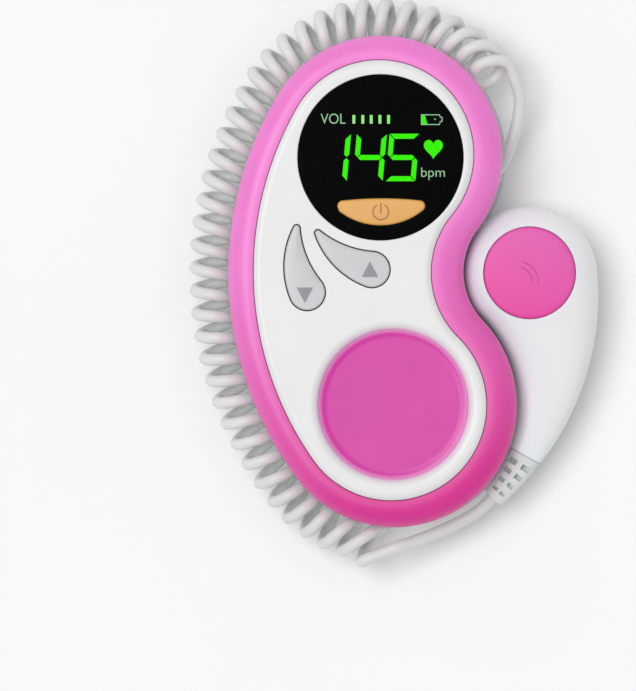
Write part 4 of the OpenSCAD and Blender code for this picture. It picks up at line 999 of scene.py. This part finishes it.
def wave(centre, radius, half_angle, facing):
    """An arc lying on the pad, with a low round section."""
    rings = []
    for a in np.linspace(facing - half_angle, facing + half_angle, 25):
        mid = centre + radius * ray(a)
        z = pad_top(mid)
        fade = min(1.0, 0.25 + 3 * (1 - abs(a - facing) / half_angle))
        rings.append([(*(mid + WAVE_W * fade * cos(b) * ray(a)), z + WAVE_H * fade * sin(b))
                      for b in np.radians(range(0, 360, 30))])
    return capped(rings, (*(centre + radius * ray(facing - half_angle)), rings[0][0][2]),
                  (*(centre + radius * ray(facing + half_angle)), rings[-1][0][2]))

# The arcs' deeper pink is painted shade.
for k, radius in enumerate(WAVE_RADII):
    piece("pad_wave_%d" % (k + 1), *wave(at(*WAVES_AT), radius, WAVE_HALF, WAVE_FACING), wave_painted_shade, "probe",
          None, "pad_pink")

# %% [markdown]
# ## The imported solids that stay
# Walls, covers, holders and everything inside keep their CAD shape. A modifier smooths
# the faces of one curve and leaves real edges crisp, without touching the mesh, and
# each solid gets the finish of its real material.

# %% Soften modifier
SAME_PLACE, SOFT_UNDER = 1e-6, 25
soften = bpy.data.node_groups.new("soften", "GeometryNodeTree")
for way in ("INPUT", "OUTPUT"):
    soften.interface.new_socket("Geometry", in_out=way, socket_type="NodeSocketGeometry")
came = add(soften, "NodeGroupInput").outputs[0]
joined = add(soften, "GeometryNodeMergeByDistance", {"Geometry": came, "Distance": SAME_PLACE}).outputs[0]
fold = add(soften, "GeometryNodeInputMeshEdgeAngle").outputs["Unsigned Angle"]
flat = add(soften, "FunctionNodeCompare", {0: fold, 1: radians(SOFT_UNDER)}, data_type="FLOAT",
           operation="LESS_THAN").outputs[0]
edges = add(soften, "GeometryNodeSetShadeSmooth", {"Geometry": joined, "Shade Smooth": flat},
            domain="EDGE").outputs[0]
smooth = add(soften, "GeometryNodeSetShadeSmooth", {"Geometry": edges, "Shade Smooth": True},
             domain="FACE").outputs[0]
add(soften, "NodeGroupOutput", {0: smooth})
print("soften smooths folds under", SOFT_UNDER, "degrees")

# %% Finishes of the solids
FINISHES = (
    (cover_white, "rear_cover battery_cover"),
    (wall_white, "waist_frame probe_dock cord_gland"),
    (case_white, "power_plunger volume_down_plunger volume_up_plunger"),
    (inner_black, "headphone_socket tact_switches display_module transducer_holder"),
    (zinc, "board_screws case_screws probe_screws speaker_frame"),
    (nickel, "contact_plates contact_springs"),
    (board, "main_board probe_board"),
    (boot_grey, "probe_boot"), (segment_green, "digit_segments"), (foam, "display_gasket"),
    (paper, "speaker_cone"), (magnet, "speaker_magnet"), (cell, "battery_cells"),
    (resin, "transducer_lens"), (ceramic, "piezo_crystals"), (backing, "damping_block"),
)
kept = [(nodes[name], material) for material, names in FINISHES for name in names.split()]
for solid, material in kept:
    for slot in solid.material_slots:
        slot.material = material
    solid.modifiers.new("soften", "NODES").node_group = soften
print("solids kept:", len(kept), "of", len(nodes))

# %% [markdown]
# ## Floor and light
# A very large pale floor carries the soft shadow. White light comes almost evenly from
# all round, with one broad lamp high on the left, so level faces show their colour
# about as it is written and shadows stay faint.

# %% Floor
FLOOR_REACH = 60
corners = [(x * FLOOR_REACH, y * FLOOR_REACH, 0) for x, y in ((-1, -1), (1, -1), (1, 1), (-1, 1))]
floor_mesh = bpy.data.meshes.new("floor")
floor_mesh.from_pydata(corners, [], [(0, 1, 2, 3)])
floor = bpy.data.objects.new("floor", floor_mesh)
show(floor)
floor_mesh.materials.append(moulded("paint_matt_white", "#fafafa", "#f8f8f8", (0.85, 0.9), 2.0, 0.01,
                                    tone_mm=120.0, gloss=0.1))
print("floor:", 2 * FLOOR_REACH, "m")

# %% Light
HORIZON, ZENITH, BACKDROP, LAMP, LAMP_SPREAD, LAMP_WAY = 0.54, 0.60, 1.0, 1.40, 30, (0.3, -0.12, -1.0)
world = bpy.data.worlds.new("studio")
bpy.context.scene.world = world
world.use_nodes = True
sky = world.node_tree
sky.nodes.clear()
to_lens = add(sky, "ShaderNodeLightPath").outputs["Is Camera Ray"]
way = add(sky, "ShaderNodeTexCoord").outputs["Generated"]
rise = add(sky, "ShaderNodeSeparateXYZ", {0: way}).outputs["Z"]
dome = add(sky, "ShaderNodeMapRange", {"Value": rise, "To Min": HORIZON, "To Max": ZENITH}).outputs[0]
seen = add(sky, "ShaderNodeMapRange", {"Value": to_lens, "To Min": dome, "To Max": BACKDROP}).outputs[0]
glow = add(sky, "ShaderNodeBackground", {"Color": linear("#ffffff"), "Strength": seen}).outputs[0]
add(sky, "ShaderNodeOutputWorld", {"Surface": glow})

lamp = bpy.data.objects.new("lamp", bpy.data.lights.new("lamp", "SUN"))
show(lamp)
lamp.data.energy, lamp.data.angle = LAMP, radians(LAMP_SPREAD)
lamp.rotation_euler = Vector(LAMP_WAY).to_track_quat("-Z", "Y").to_euler()
bpy.context.scene.view_settings.view_transform = "Standard"
print("lamp comes from", [-x for x in LAMP_WAY])

# %% [markdown]
# ## Last update
# The scene is brought up to date at the end.

# %% Update
bpy.context.view_layer.update()
